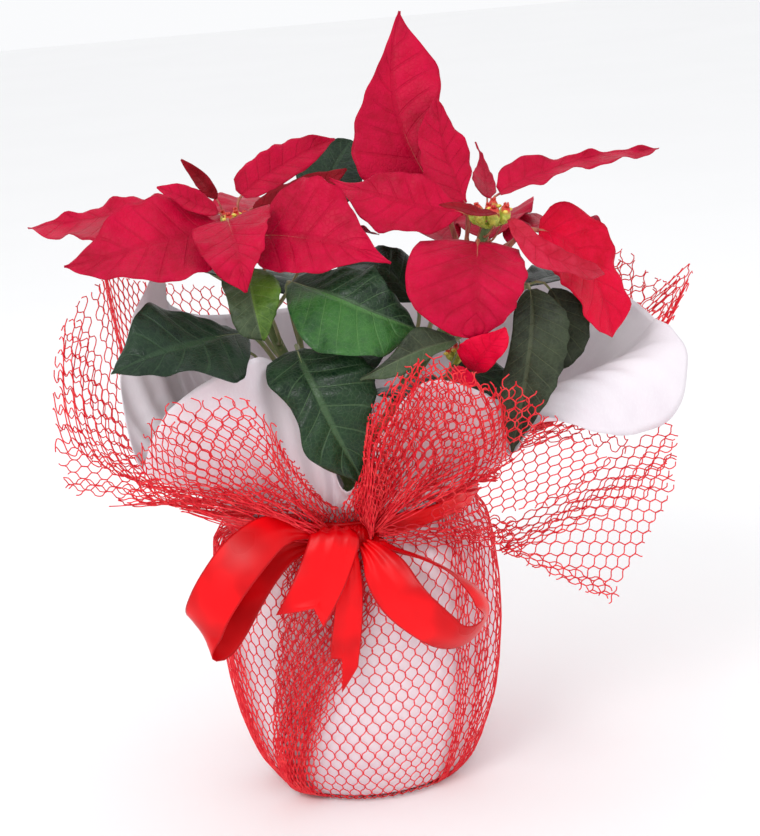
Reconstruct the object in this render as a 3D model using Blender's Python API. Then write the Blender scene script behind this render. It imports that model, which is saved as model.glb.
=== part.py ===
"""Potted poinsettia wrapped in paper and net, tied with a ribbon bow.

Metres, +Z up. The front faces -Y and the origin is the centre of the base.
The tables of points and sizes are in millimetres and are scaled by MM.
"""
import math

import bmesh
import bpy
from mathutils import Vector

MM = 0.001

# Pot and soil
POT_RIM_RADIUS = 70.0
POT_BASE_RADIUS = 52.0
POT_WALL = 1.8
POT_BOTTOM = 2.5
POT_RIM_Z = 138.0
POT_LIP = 2.4
POT_COLLAR = 12.0
POT_EDGE = 1.0
DRAIN_HOLES = 4
DRAIN_HOLE_RADIUS = 5.0
DRAIN_HOLE_RING = 32.0
SOIL_TOP = 123.0
SOIL_CROWN = 2.0
SOIL_EDGE = 3.0
SOIL_GAP = 1.0
SOIL_HALF_WAY = 0.75
TRUNK_WELL_GAP = 0.9
TRUNK_WELL_LOW = 92.0
TURNED_SIDES = 40
CUTTER_SIDES = 16

# Wrap
NECK_Z = 169.0
NET_NECK_RADIUS = 68.0
PAPER_NECK_RADIUS = 65.6
NET_THICKNESS = 1.0
PAPER_THICKNESS = 0.8
FLARE_STEPS = 5
WIDEST_COLUMN = 11.0

# Ribbon
BAND_SIDES = 48
RIBBON_WIDTH = 25.0
RIBBON_THICKNESS = 0.9
BAND_LOW = 152.0
BAND_HIGH = 168.0
BAND_GAP = 0.4
KNOT_CENTRE = (3.0, -75.6, 158.0)
KNOT_SIZE = (14.0, 10.0, 13.0)
KNOT_SIDES = 12
KNOT_ROWS = ((-0.5, 0.7), (-0.25, 1.0), (0.25, 1.0), (0.5, 0.7))

# Leaves
LEAF_THICKNESS = 0.9
PETIOLE_RADIUS = 0.9
PETIOLE_GAP = 0.35
PETIOLE_STATIONS = (0.0, 0.3, 0.65)
PETIOLE_HANDLE = 0.35
LEAF_STATIONS = 7
BLADE_FIRST = 0.03
BLADE_LAST = 0.98
BLADE_NARROWEST = 1.0
BLADE_SHOULDER = 0.62
LEAF_ACROSS = (-1.0, -0.5, 0.0, 0.5, 1.0)

# Colours: base colour, roughness
BRACT_RED = ((0.58, 0.004, 0.03), 0.5)
LEAF_GREEN = ((0.03, 0.09, 0.035), 0.45)
STEM_GREEN = ((0.13, 0.2, 0.05), 0.55)
CYATHIA_GREEN = ((0.45, 0.5, 0.06), 0.5)
POT_BROWN = ((0.2, 0.07, 0.04), 0.5)
SOIL_BROWN = ((0.035, 0.022, 0.014), 0.95)
PAPER_WHITE = ((0.8, 0.72, 0.76), 0.8)
NET_RED = ((0.75, 0.02, 0.04), 0.6)
RIBBON_RED = ((0.8, 0.005, 0.008), 0.3)

# Stem axes: points and the radius at each end
TRUNK = [(0, 0, 93), (0, 0, 129), (2, -4, 165)]
LEFT_SHOOT = [(2, -4, 161), (-13, -9, 205), (-35, -17, 263), (-43, -25, 312)]
RIGHT_SHOOT = [(2, -4, 161), (26, -13, 205), (62, -27, 258), (82, -40, 304)]
LOW_SHOOT = [(2, -4, 161), (22, -24, 185), (46, -50, 213), (60, -65, 242)]
SHOOTS = {
    "trunk": (TRUNK, 5.6, 4.8),
    "left": (LEFT_SHOOT, 3.6, 2.3),
    "right": (RIGHT_SHOOT, 3.6, 2.3),
    "low": (LOW_SHOOT, 2.6, 1.8),
}
STEM_SIDES = 10
STEM_STEPS = 9

# Flower clusters
CLUSTER_SIDES = 12
CLUSTER_ROWS = 6

# Each leaf: name, shoot, place along the shoot,
# blade base, middle, tip, half width, direction the upper side faces, fold in degrees, widest place
BRACTS = [
    ("bract_right_tall", "right", 0.86,
     (60, -22, 318), (42, -4, 365), (48, 12, 410), 24, (0.1, -1, 0.1), 12, 0.42),
    ("bract_right_tall_side", "right", 0.9,
     (72, -34, 316), (65, -24, 342), (62, -15, 368), 16, (0.6, -1, 0.2), 10, 0.45),
    ("bract_right_dark", "right", 0.82,
     (85, -12, 314), (86, 14, 324), (84, 34, 337), 10, (0.3, -0.8, 0.6), 15, 0.5),
    ("bract_right_long", "right", 0.9,
     (90, -30, 319), (127, -23, 330), (176, 0, 330), 12, (0, -0.4, 1), 14, 0.36),
    ("bract_right_inner", "right", 0.88,
     (70, -43, 313), (38, -45, 322), (5, -26, 333), 19, (-0.1, -0.9, 0.6), 8, 0.5),
    ("bract_right_heart", "right", 0.92,
     (76, -52, 299), (72, -82, 281), (70, -84, 258), 31, (0, -1, 0.35), 6, 0.36),
    ("bract_right_folded", "right", 0.95,
     (93, -48, 308), (110, -60, 291), (138, -50, 277), 9, (0.3, -0.9, 0.7), 22, 0.45),
    ("bract_right_side", "right", 0.8,
     (109, -27, 298), (132, -27, 279), (143, -30, 239), 24, (0.6, -0.8, 0.5), 8, 0.45),
    ("bract_right_small", "right", 0.97,
     (86, -54, 313), (74, -60, 316), (58, -60, 321), 4, (0, -0.5, 1), 15, 0.5),
    ("bract_right_back", "right", 0.72,
     (84, -14, 293), (92, 20, 299), (104, 58, 289), 21, (0, 0.3, 1), 8, 0.42),
    ("bract_right_back_left", "right", 0.74,
     (64, -12, 291), (46, 26, 299), (34, 60, 289), 20, (0, 0.3, 1), 8, 0.42),
    ("bract_right_back_side", "right", 0.76,
     (94, -18, 291), (124, 10, 293), (150, 36, 275), 19, (0.2, 0.2, 1), 8, 0.42),
    ("bract_left_big", "left", 0.93,
     (-33, -42, 310), (-1, -60, 308), (32, -70, 296), 25, (0.15, -0.9, 0.5), 8, 0.42),
    ("bract_left_rising", "left", 0.89,
     (-41, -10, 326), (-19, 10, 337), (9, 26, 346), 14, (0.1, -0.9, 0.6), 10, 0.45),
    ("bract_left_front_left", "left", 0.91,
     (-52, -38, 315), (-86, -53, 312), (-128, -60, 306), 24, (-0.1, -0.75, 0.7), 8, 0.42),
    ("bract_left_far", "left", 0.86,
     (-68, -14, 320), (-107, -6, 321), (-153, -4, 317), 14, (0, -0.3, 1), 10, 0.4),
    ("bract_left_heart", "left", 0.95,
     (-47, -42, 319), (-42, -71, 308), (-39, -82, 290), 21, (0, -1, 0.6), 8, 0.37),
    ("bract_left_thin", "left", 0.98,
     (-53, -21, 327), (-59, -19, 336), (-69, -17, 348), 4, (-0.3, -0.9, 0.3), 20, 0.45),
    ("bract_left_narrow", "left", 0.97,
     (-52, -33, 322), (-65, -39, 330), (-80, -43, 339), 7, (0, -0.7, 0.7), 15, 0.45),
    ("bract_left_inner", "left", 0.94,
     (-35, -22, 321), (-11, -16, 325), (14, -10, 335), 8, (0, -0.7, 0.7), 12, 0.45),
    ("bract_left_back", "left", 0.82,
     (-42, -8, 311), (-36, 34, 315), (-30, 76, 307), 21, (0, 0.2, 1), 8, 0.42),
    ("bract_left_back_left", "left", 0.8,
     (-54, -10, 305), (-80, 26, 309), (-106, 54, 299), 20, (-0.1, 0.2, 1), 8, 0.42),
    ("bract_left_back_right", "left", 0.76,
     (-28, -8, 299), (-2, 10, 301), (28, 28, 293), 15, (0.1, 0.1, 1), 8, 0.42),
    ("bract_low_right", "low", 0.95,
     (68, -79, 240), (74, -88, 252), (84, -92, 264), 10, (0, -0.9, 0.5), 12, 0.45),
    ("bract_low_front", "low", 0.9,
     (58, -80, 243), (62, -90, 241), (69, -93, 237), 4, (0, -1, 0.2), 15, 0.45),
]
GREEN_LEAVES = [
    ("leaf_front_left", "left", 0.42,
     (-44, -52, 263), (-71, -84, 267), (-106, -100, 260), 23, (0, -0.7, 0.75), 8, 0.42),
    ("leaf_small_left", "left", 0.58,
     (-40, -44, 294), (-37, -70, 282), (-34, -75, 264), 16, (0, -1, 0.5), 10, 0.4),
    ("leaf_centre", "left", 0.5,
     (-18, -42, 285), (10, -70, 278), (42, -74, 262), 23, (0, -0.75, 0.7), 8, 0.42),
    ("leaf_curled", "low", 0.86,
     (60, -80, 257), (38, -92, 255), (12, -94, 245), 9, (0, -0.9, 0.5), 20, 0.45),
    ("leaf_front_hanging", "low", 0.3,
     (-18, -60, 254), (-8, -88, 232), (10, -87, 189), 23, (0, -1, 0.45), 8, 0.42),
    ("leaf_front_small", "low", 0.18,
     (-38, -56, 229), (-27, -63, 226), (-19, -66, 216), 5, (0, -1, 0.3), 8, 0.45),
    ("leaf_right_hanging", "right", 0.62,
     (100, -58, 274), (96, -74, 247), (84, -79, 197), 18, (-0.1, -1, 0.3), 6, 0.45),
    ("leaf_right_inner", "right", 0.6,
     (114, -20, 265), (119, -27, 243), (108, -26, 223), 13, (0, -1, 0.3), 8, 0.45),
    ("leaf_back_upper", "left", 0.66,
     (-4, 38, 305), (5, 55, 323), (18, 68, 339), 18, (0, -0.9, 0.5), 8, 0.45),
    ("leaf_back_left", "left", 0.52,
     (-60, 14, 281), (-84, 42, 285), (-102, 66, 271), 22, (-0.2, 0.5, 1), 8, 0.42),
    ("leaf_back_middle", "left", 0.4,
     (-24, 34, 263), (-22, 68, 269), (-18, 104, 253), 22, (0, 0.5, 1), 8, 0.42),
    ("leaf_back_right", "right", 0.5,
     (62, 24, 265), (72, 60, 269), (84, 92, 253), 22, (0, 0.5, 1), 8, 0.42),
    ("leaf_side_right", "right", 0.56,
     (104, 2, 263), (130, 22, 263), (152, 42, 247), 20, (0.4, 0.3, 1), 8, 0.42),
    ("leaf_side_left", "left", 0.36,
     (-46, -10, 244), (-64, -16, 253), (-80, -22, 247), 15, (-0.4, -0.4, 1), 8, 0.42),
    ("leaf_inner_back", "trunk", 0.9,
     (8, 30, 213), (12, 56, 227), (16, 84, 227), 18, (0, -0.3, 1), 8, 0.42),
    ("leaf_inner_right", "right", 0.34,
     (56, -27, 226), (74, -35, 226), (90, -42, 213), 14, (0.2, -0.6, 0.8), 8, 0.42),
    ("leaf_inner_middle", "right", 0.42,
     (44, 6, 259), (26, 22, 275), (4, 34, 275), 20, (0, -0.5, 1), 8, 0.42),
    ("leaf_inner_left", "left", 0.22,
     (-27, -22, 216), (-45, -31, 230), (-62, -37, 231), 12, (0, -0.7, 0.8), 8, 0.42),
    ("leaf_inner_front", "right", 0.2,
     (30, -36, 219), (34, -62, 231), (40, -84, 225), 17, (0, -0.6, 0.9), 8, 0.42),
]

# Flower clusters: name, centre and size
CYATHIA = [
    ("cyathia_left", (-43.5, -26.0, 317.5), (13, 12, 10)),
    ("cyathia_right", (83.5, -42.0, 311.0), (20, 16, 13)),
    ("cyathia_low", (60.5, -66.0, 247.0), (9, 8, 9)),
]

# Turned outline of the wrap below the neck: radius and height
NET_BODY = [
    (52, 0.5), (56, 1.8), (58.9, 7), (63.2, 16), (67.2, 28), (70.6, 42), (73.5, 60), (75.5, 82),
    (76.5, 106), (76, 127.5), (74.8, 140.5), (70, 148), (68, 152),
]
PAPER_BODY = [
    (51, 1.8), (53.8, 2.6), (56.6, 8), (60.9, 17), (64.9, 29), (68.3, 43), (71.2, 61), (73.1, 83), (74, 107),
    (73.5, 127), (72.4, 139.5), (67.5, 146.5), (65.6, 152),
]

# Rim of each sheet: angle at the neck, rim point, outward and upward bulge half way
NET_RIM = [
    (0, (150, -2, 165), 0, 8), (10, (172, 22, 209), 6, 0), (18, (198, 32, 259), 8, -12),
    (27, (180, 44, 251), 8, -12), (36, (160, 62, 267), 10, -12), (55, (112, 98, 249), 12, -12),
    (75, (50, 124, 255), 12, -12), (95, (-15, 130, 239), 12, -12), (115, (-70, 112, 255), 12, -12),
    (138, (-104, 78, 267), 12, -12), (158, (-118, 36, 281), 12, -12), (174, (-118, -8, 289), 14, -14),
    (184, (-130, -25, 281), 14, -16), (192, (-142, -30, 261), 14, -16), (200, (-148, -35, 223), 10, -8),
    (207, (-146, -42, 186), 2, 4), (213, (-122, -60, 181), 0, 2), (220, (-108, -76, 198), 6, -4),
    (227, (-98, -88, 220), 8, -8), (234, (-88, -95, 239), 10, -10), (242, (-62, -105, 247), 10, -10),
    (249, (-37, -112, 243), 10, -8), (255, (-28, -104, 218), 8, -4), (261, (-17, -90, 194), 4, 0),
    (266, (-6, -79, 176), 0, 0), (272, (10, -101, 203), 4, -2), (278, (16, -110, 235), 8, -6),
    (287, (34, -108, 253), 8, -8), (296, (50, -106, 257), 8, -8), (304, (78, -99, 235), 8, -6),
    (311, (84, -88, 199), 6, 0), (317, (102, -84, 209), 6, -2), (322, (124, -78, 189), 4, 0),
    (327, (150, -60, 184), 0, 2), (332, (172, -38, 182), 0, 2), (337, (174, -30, 161), 0, 6),
    (342, (165, -46, 138), 0, 8), (347, (150, -60, 121), 0, 10), (352, (130, -72, 110), 0, 10),
    (356, (142, -40, 131), 0, 10),
]
PAPER_RIM = [
    (0, (172, 12, 237), 10, 0), (12, (160, 40, 245), 8, -4), (28, (134, 72, 251), 8, -8),
    (50, (94, 94, 249), 8, -8), (72, (42, 110, 247), 8, -8), (95, (-14, 114, 239), 8, -8),
    (118, (-62, 96, 241), 8, -8), (142, (-86, 62, 253), 8, -8), (164, (-92, 24, 275), 8, -8),
    (182, (-84, -2, 297), 8, -8), (194, (-92, -22, 289), 8, -8), (204, (-103, -36, 269), 8, -8),
    (211, (-110, -46, 239), 8, -6), (218, (-104, -58, 199), 4, 0), (226, (-94, -74, 218), 4, -4),
    (234, (-80, -84, 237), 6, -6), (244, (-46, -80, 255), 6, -6), (254, (-29, -65, 249), 6, -4),
    (262, (-10, -72, 218), 2, 0), (268, (0, -75, 183), 0, 0), (275, (18, -90, 213), 4, -2),
    (286, (42, -95, 241), 6, -6), (298, (74, -92, 229), 6, -4), (308, (82, -81, 197), 4, 0),
    (316, (102, -66, 209), 4, 4), (323, (126, -62, 199), 6, 26), (330, (150, -48, 191), 14, 40),
    (338, (174, -34, 195), 18, 42), (346, (184, -16, 217), 18, 30), (353, (180, 0, 231), 14, 14),
]

# Ribbon strips: centre line, the direction the ribbon's face looks, and its share of the full width
LOOP_LEFT = [
    ((-5.2, -78.2, 161.5), (0, -0.8, 0.6), 0.28), ((-16, -80.5, 164.1), (-0.1, -0.8, 0.6), 0.3),
    ((-23.7, -82.5, 167.1), (-0.1, -0.8, 0.6), 0.4), ((-31.5, -86, 169.6), (-0.1, -0.8, 0.6), 0.62),
    ((-41.4, -91, 168.6), (-0.2, -0.85, 0.5), 0.85), ((-53.3, -97, 160.8), (-0.35, -0.9, 0.3), 1),
    ((-64.9, -101, 148.1), (-0.45, -0.9, 0.1), 1), ((-73.1, -102, 136), (-0.6, -0.8, -0.1), 1),
    ((-77.1, -98, 124.6), (-0.7, -0.3, -0.65), 1), ((-73.2, -93, 117.3), (-0.3, 0.7, -0.65), 1),
    ((-65.4, -90, 125.6), (0.2, 0.95, -0.2), 1), ((-57.2, -88, 138.1), (0.3, 0.95, -0.1), 1),
    ((-47.6, -86, 148.8), (0.2, 0.95, -0.3), 0.9), ((-34.9, -82, 156.3), (0.1, 0.9, -0.5), 0.65),
    ((-21.7, -78, 157.9), (0, 0.9, -0.5), 0.35), ((-5.2, -75.4, 156), (0, 0.9, -0.5), 0.28),
]
LOOP_RIGHT = [
    ((6.5, -82.5, 157.4), (0.2, -0.95, -0.1), 0.3), ((11.5, -87, 151.6), (0.15, -1, 0), 0.6),
    ((16.2, -92, 144), (0.05, -1, -0.1), 0.9), ((23.1, -98, 132.3), (-0.05, -1, -0.15), 1),
    ((33.1, -102, 121.8), (-0.1, -0.95, -0.3), 1), ((44.8, -103, 112.5), (0, -0.85, -0.55), 1),
    ((55.3, -102, 111.1), (0.4, -0.6, -0.7), 0.95), ((62.4, -97, 115.4), (0.9, -0.2, -0.3), 0.9),
    ((62.9, -92, 123), (0.8, -0.2, 0.5), 0.75), ((57.6, -89, 131.5), (0.55, 0, 0.8), 0.7),
    ((47.3, -86, 139.9), (0.3, 0.3, 0.9), 0.65), ((33.9, -83, 147), (0.3, 0.35, 0.9), 0.6),
    ((20.3, -79.5, 151.8), (0.3, 0.4, 0.85), 0.4), ((11.2, -76.2, 156.5), (0.3, 0.4, 0.85), 0.3),
]
TAIL_FRONT = [
    ((-6.8, -82, 165.9), (0, -0.6, 0.8), 0.75), ((-7.5, -87.5, 163.7), (0, -0.9, 0.4), 0.98),
    ((-10.1, -91, 156.7), (0, -1, 0.1), 1), ((-15, -94, 146.6), (0.05, -1, 0.1), 1),
    ((-20.9, -97, 136.6), (0.1, -1, 0), 1), ((-26.7, -99, 127.8), (0.1, -1, -0.05), 1),
    ((-29.7, -99, 123.2), (0.1, -1, -0.1), 1),
]
TAIL_LONG = [
    ((-2.1, -82, 156.4), (0, -1, -0.2), 0.35), ((-1.8, -85, 148.9), (0, -1, -0.1), 0.42),
    ((-2.6, -87, 134.7), (0, -1, 0.1), 0.52), ((-5.1, -87, 117.6), (0, -1, 0.15), 0.58),
    ((-8.3, -85, 99), (0, -1, 0.2), 0.6), ((-11.6, -84, 78.3), (0, -1, 0.2), 0.58),
]


def clear_scene():
    for item in list(bpy.data.objects):
        bpy.data.objects.remove(item, do_unlink=True)


def material(name, finish):
    """Plain material: finish is the base colour and the roughness."""
    colour, roughness = finish
    made = bpy.data.materials.new(name)
    made.use_nodes = True
    shader = made.node_tree.nodes["Principled BSDF"]
    shader.inputs["Base Color"].default_value = (*colour, 1.0)
    shader.inputs["Roughness"].default_value = roughness
    shader.inputs["Metallic"].default_value = 0.0
    return made


def add_object(name, points, faces, finish):
    """New mesh object from points in millimetres, faces turned outward."""
    mesh = bpy.data.meshes.new(name)
    mesh.from_pydata([Vector(point) * MM for point in points], [], faces)
    work = bmesh.new()
    work.from_mesh(mesh)
    bmesh.ops.recalc_face_normals(work, faces=work.faces)
    work.to_mesh(mesh)
    work.free()
    mesh.shade_smooth()
    mesh.materials.append(material(name, finish))
    made = bpy.data.objects.new(name, mesh)
    bpy.context.scene.collection.objects.link(made)
    return made


def spline_point(points, place):
    """Point on a smooth curve through the points; place runs from 0 to 1."""
    spans = len(points) - 1
    along = min(max(place, 0.0), 1.0) * spans
    index = min(int(along), spans - 1)
    t = along - index
    p1 = Vector(points[index])
    p2 = Vector(points[index + 1])
    p0 = Vector(points[index - 1]) if index > 0 else 2 * p1 - p2
    p3 = Vector(points[index + 2]) if index + 2 <= spans else 2 * p2 - p1
    a = 2 * p1
    b = p2 - p0
    c = 2 * p0 - 5 * p1 + 4 * p2 - p3
    d = 3 * p1 - p0 - 3 * p2 + p3
    return 0.5 * (a + b * t + c * t * t + d * t * t * t)


def spline_direction(points, place):
    step = 0.01
    ahead = spline_point(points, min(place + step, 1.0))
    behind = spline_point(points, max(place - step, 0.0))
    return (ahead - behind).normalized()


def loft(sections):
    """Points and faces of a closed solid through loops of equal length, with flat ends.

    A thin blade keeps its thickness where it twists, because its upper and lower faces fold
    along the same slanted lines.
    """
    sides = len(sections[0])
    points = [point for section in sections for point in section]
    faces = []
    for row in range(len(sections) - 1):
        for column in range(sides):
            a = row * sides + column
            b = row * sides + (column + 1) % sides
            if column < sides // 2:
                faces.append((a, b, b + sides))
                faces.append((a, b + sides, a + sides))
            else:
                faces.append((a, b, a + sides))
                faces.append((b, b + sides, a + sides))
    last = (len(sections) - 1) * sides
    faces.append(tuple(range(sides - 1, -1, -1)))
    faces.append(tuple(range(last, last + sides)))
    return points, faces


def turned(name, outline, finish):
    """Solid turned round Z from a closed outline of radius and height, both ends on the axis."""
    sides = TURNED_SIDES
    points = [(0, 0, outline[0][1])]
    ring_rows = outline[1:-1]
    for radius, height in ring_rows:
        for k in range(sides):
            angle = 2 * math.pi * k / sides
            points.append((radius * math.cos(angle), radius * math.sin(angle), height))
    points.append((0, 0, outline[-1][1]))
    faces = []
    end = len(points) - 1
    last = 1 + (len(ring_rows) - 1) * sides
    for k in range(sides):
        after = (k + 1) % sides
        faces.append((0, 1 + after, 1 + k))
        faces.append((end, last + k, last + after))
        for row in range(len(ring_rows) - 1):
            a = 1 + row * sides
            faces.append((a + k, a + after, a + sides + after, a + sides + k))
    return add_object(name, points, faces, finish)


def cutter_cylinder(name, radius, low, high, centre=(0, 0)):
    """Upright cylinder that only cuts: it is hidden in renders."""
    bottom = []
    top = []
    for k in range(CUTTER_SIDES):
        angle = 2 * math.pi * k / CUTTER_SIDES
        x = centre[0] + radius * math.cos(angle)
        y = centre[1] + radius * math.sin(angle)
        bottom.append((x, y, low))
        top.append((x, y, high))
    made = add_object(name, *loft([bottom, top]), SOIL_BROWN)
    made.hide_render = True
    made.display_type = "WIRE"
    return made


def add_boolean(target, tool, operation):
    step = target.modifiers.new(operation.lower(), "BOOLEAN")
    step.operation = operation
    step.object = tool
    step.solver = "EXACT"


def build_pot():
    """Tapered nursery pot with a rolled rim and four drain holes."""
    inner_bottom = POT_BOTTOM + POT_WALL
    outline = [
        (0, POT_BOTTOM), (POT_BASE_RADIUS - POT_EDGE, POT_BOTTOM), (POT_BASE_RADIUS, POT_BOTTOM + POT_EDGE),
        (POT_RIM_RADIUS - POT_LIP, POT_RIM_Z - POT_COLLAR - POT_LIP),
        (POT_RIM_RADIUS, POT_RIM_Z - POT_COLLAR),
        (POT_RIM_RADIUS, POT_RIM_Z - POT_EDGE), (POT_RIM_RADIUS - POT_EDGE, POT_RIM_Z),
        (POT_RIM_RADIUS - POT_LIP, POT_RIM_Z),
        (POT_RIM_RADIUS - POT_LIP - POT_WALL, POT_RIM_Z - POT_COLLAR),
        (POT_BASE_RADIUS - POT_WALL, inner_bottom), (0, inner_bottom),
    ]
    pot = turned("nursery_pot", outline, POT_BROWN)
    for k in range(DRAIN_HOLES):
        angle = 2 * math.pi * (k + 0.5) / DRAIN_HOLES
        centre = (DRAIN_HOLE_RING * math.cos(angle), DRAIN_HOLE_RING * math.sin(angle))
        hole = cutter_cylinder(f"drain_cutter_{k + 1}", DRAIN_HOLE_RADIUS, 0, POT_BOTTOM * 3, centre)
        add_boolean(pot, hole, "DIFFERENCE")


def build_soil():
    """Soil that fills the pot to just under the rim, with a well where the trunk goes in."""
    pot_floor = POT_BOTTOM + POT_WALL
    slope = (POT_RIM_RADIUS - POT_LIP - POT_BASE_RADIUS) / (POT_RIM_Z - POT_COLLAR - pot_floor)
    bottom = pot_floor + SOIL_GAP / 2
    shoulder = SOIL_TOP - SOIL_CROWN
    low_radius = POT_BASE_RADIUS - POT_WALL - SOIL_GAP
    high_radius = low_radius + slope * (shoulder - pot_floor)
    outline = [
        (0, bottom), (low_radius, bottom), (high_radius, shoulder), (high_radius - SOIL_EDGE, SOIL_TOP),
        (high_radius / 2, SOIL_TOP + SOIL_CROWN * SOIL_HALF_WAY), (0, SOIL_TOP + SOIL_CROWN),
    ]
    soil = turned("potting_soil", outline, SOIL_BROWN)
    well_radius = SHOOTS["trunk"][1] + TRUNK_WELL_GAP
    well = cutter_cylinder("trunk_well_cutter", well_radius, TRUNK_WELL_LOW, SOIL_TOP + 2 * SOIL_CROWN)
    add_boolean(soil, well, "DIFFERENCE")


def tube_sections(points, start_radius, end_radius, sides, steps):
    """Loops of a tapering round tube along a smooth curve."""
    sections = []
    side = Vector((1, 0, 0))
    for row in range(steps + 1):
        place = row / steps
        centre = spline_point(points, place)
        along = spline_direction(points, place)
        side = (side - along * side.dot(along)).normalized()
        other = along.cross(side)
        radius = start_radius + (end_radius - start_radius) * place
        section = []
        for k in range(sides):
            angle = 2 * math.pi * k / sides
            section.append(centre + (side * math.cos(angle) + other * math.sin(angle)) * radius)
        sections.append(section)
    return sections


def build_stem():
    """One branched stem: the trunk joined to its three shoots."""
    trunk = None
    for key, (points, start_radius, end_radius) in SHOOTS.items():
        sections = tube_sections(points, start_radius, end_radius, STEM_SIDES, STEM_STEPS)
        name = "stem" if key == "trunk" else f"shoot_{key}_joiner"
        shoot = add_object(name, *loft(sections), STEM_GREEN)
        if key == "trunk":
            trunk = shoot
            continue
        shoot.hide_render = True
        shoot.display_type = "WIRE"
        add_boolean(trunk, shoot, "UNION")


def leaf_outline(place, widest):
    """Half width of a blade, 0 to 1, from its base (0) to its pointed tip (1)."""
    end = BLADE_SHOULDER * (1 - widest) / widest
    peak = widest ** BLADE_SHOULDER * (1 - widest) ** end
    return place ** BLADE_SHOULDER * (1 - place) ** end / peak


def blade_point(base, middle, tip, place):
    """Point on the midrib, a parabola through three points."""
    return (
        base * ((1 - place) * (1 - 2 * place))
        + middle * (4 * place * (1 - place))
        + tip * (place * (2 * place - 1))
    )


def leaf_sections(shoot, at, base, middle, tip, half_width, face, fold):
    """Loops of a leaf, from the petiole's end at the stem to the tip of the blade."""
    axis_points, start_radius, end_radius = SHOOTS[shoot]
    base, middle, tip = Vector(base), Vector(middle), Vector(tip)
    root = spline_point(axis_points, at)
    axis = spline_direction(axis_points, at)
    outward = base - root
    outward = (outward - axis * outward.dot(axis)).normalized()
    root_radius = start_radius + (end_radius - start_radius) * at
    start = root + outward * (root_radius + PETIOLE_GAP)
    face = Vector(face).normalized()
    blade_start = (blade_point(base, middle, tip, 0.02) - base).normalized()
    blade_side = blade_start.cross(face).normalized()
    reach = (base - start).length
    handle = reach * PETIOLE_HANDLE
    handles = [start, start + outward * handle, base - blade_start * handle, base]
    count = len(LEAF_ACROSS)
    sections = []
    for place in PETIOLE_STATIONS:
        keep = 1 - place
        centre = (
            handles[0] * keep ** 3
            + handles[1] * (3 * keep * keep * place)
            + handles[2] * (3 * keep * place * place)
            + handles[3] * place ** 3
        )
        along = (
            (handles[1] - handles[0]) * (keep * keep)
            + (handles[2] - handles[1]) * (2 * keep * place)
            + (handles[3] - handles[2]) * (place * place)
        ).normalized()
        side = (blade_side - along * blade_side.dot(along)).normalized()
        normal = side.cross(along)
        section = []
        for k in range(2 * count):
            angle = math.pi * (1 - (k + 0.5) / count)
            section.append(centre + (side * math.cos(angle) + normal * math.sin(angle)) * PETIOLE_RADIUS)
        sections.append(section)
    rise = math.tan(math.radians(fold))
    for row in range(LEAF_STATIONS):
        place = BLADE_FIRST + (BLADE_LAST - BLADE_FIRST) * row / (LEAF_STATIONS - 1)
        centre = blade_point(base, middle, tip, place)
        ahead = blade_point(base, middle, tip, place + 0.01)
        along = (ahead - centre).normalized()
        side = along.cross(face).normalized()
        normal = side.cross(along)
        width = max(half_width[0] * leaf_outline(place, half_width[1]), BLADE_NARROWEST)
        top = []
        bottom = []
        for across in LEAF_ACROSS:
            lift = abs(across) * width * rise
            point = centre + side * (across * width) + normal * lift
            top.append(point + normal * LEAF_THICKNESS / 2)
            bottom.append(point - normal * LEAF_THICKNESS / 2)
        sections.append(top + bottom[::-1])
    return sections


def build_leaves(table, finish):
    for name, shoot, at, base, middle, tip, half_width, face, fold, widest in table:
        sections = leaf_sections(shoot, at, base, middle, tip, (half_width, widest), face, fold)
        add_object(name, *loft(sections), finish)


def build_cyathia():
    """Each flower cluster as one rounded solid."""
    sides = CLUSTER_SIDES
    rows = CLUSTER_ROWS
    for name, centre, size in CYATHIA:
        points = [(centre[0], centre[1], centre[2] - size[2] / 2)]
        for row in range(1, rows):
            tilt = math.pi * (row / rows - 0.5)
            for k in range(sides):
                angle = 2 * math.pi * k / sides
                points.append((
                    centre[0] + size[0] / 2 * math.cos(tilt) * math.cos(angle),
                    centre[1] + size[1] / 2 * math.cos(tilt) * math.sin(angle),
                    centre[2] + size[2] / 2 * math.sin(tilt),
                ))
        points.append((centre[0], centre[1], centre[2] + size[2] / 2))
        faces = []
        end = len(points) - 1
        last = 1 + (rows - 2) * sides
        for k in range(sides):
            after = (k + 1) % sides
            faces.append((0, 1 + after, 1 + k))
            faces.append((end, last + k, last + after))
            for row in range(rows - 2):
                a = 1 + row * sides
                faces.append((a + k, a + after, a + sides + after, a + sides + k))
        add_object(name, points, faces, CYATHIA_GREEN)


def rim_columns(rows):
    """Rows of a rim table, with a smooth row added half way across each wide gap in angle."""
    columns = []
    for k, (angle, rim, out, up) in enumerate(rows):
        columns.append((angle, Vector(rim), out, up))
        after = rows[(k + 1) % len(rows)]
        gap = (after[0] - angle) % 360
        if gap <= WIDEST_COLUMN:
            continue
        around = [rows[(k + step) % len(rows)] for step in (-1, 0, 1, 2)]
        middle = spline_point([row[1] for row in around], 0.5)
        columns.append((angle + gap / 2, middle, (out + after[2]) / 2, (up + after[3]) / 2))
    return columns


def flare_point(angle, rim, out, up, neck_radius, place):
    """Point of a sheet between the neck (0) and its rim (1), bulging half way."""
    turn = math.radians(angle)
    radial = Vector((math.cos(turn), math.sin(turn), 0))
    neck = radial * neck_radius + Vector((0, 0, NECK_Z))
    middle = (neck + rim) / 2 + radial * out + Vector((0, 0, up))
    return blade_point(neck, middle, rim, place)


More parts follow.
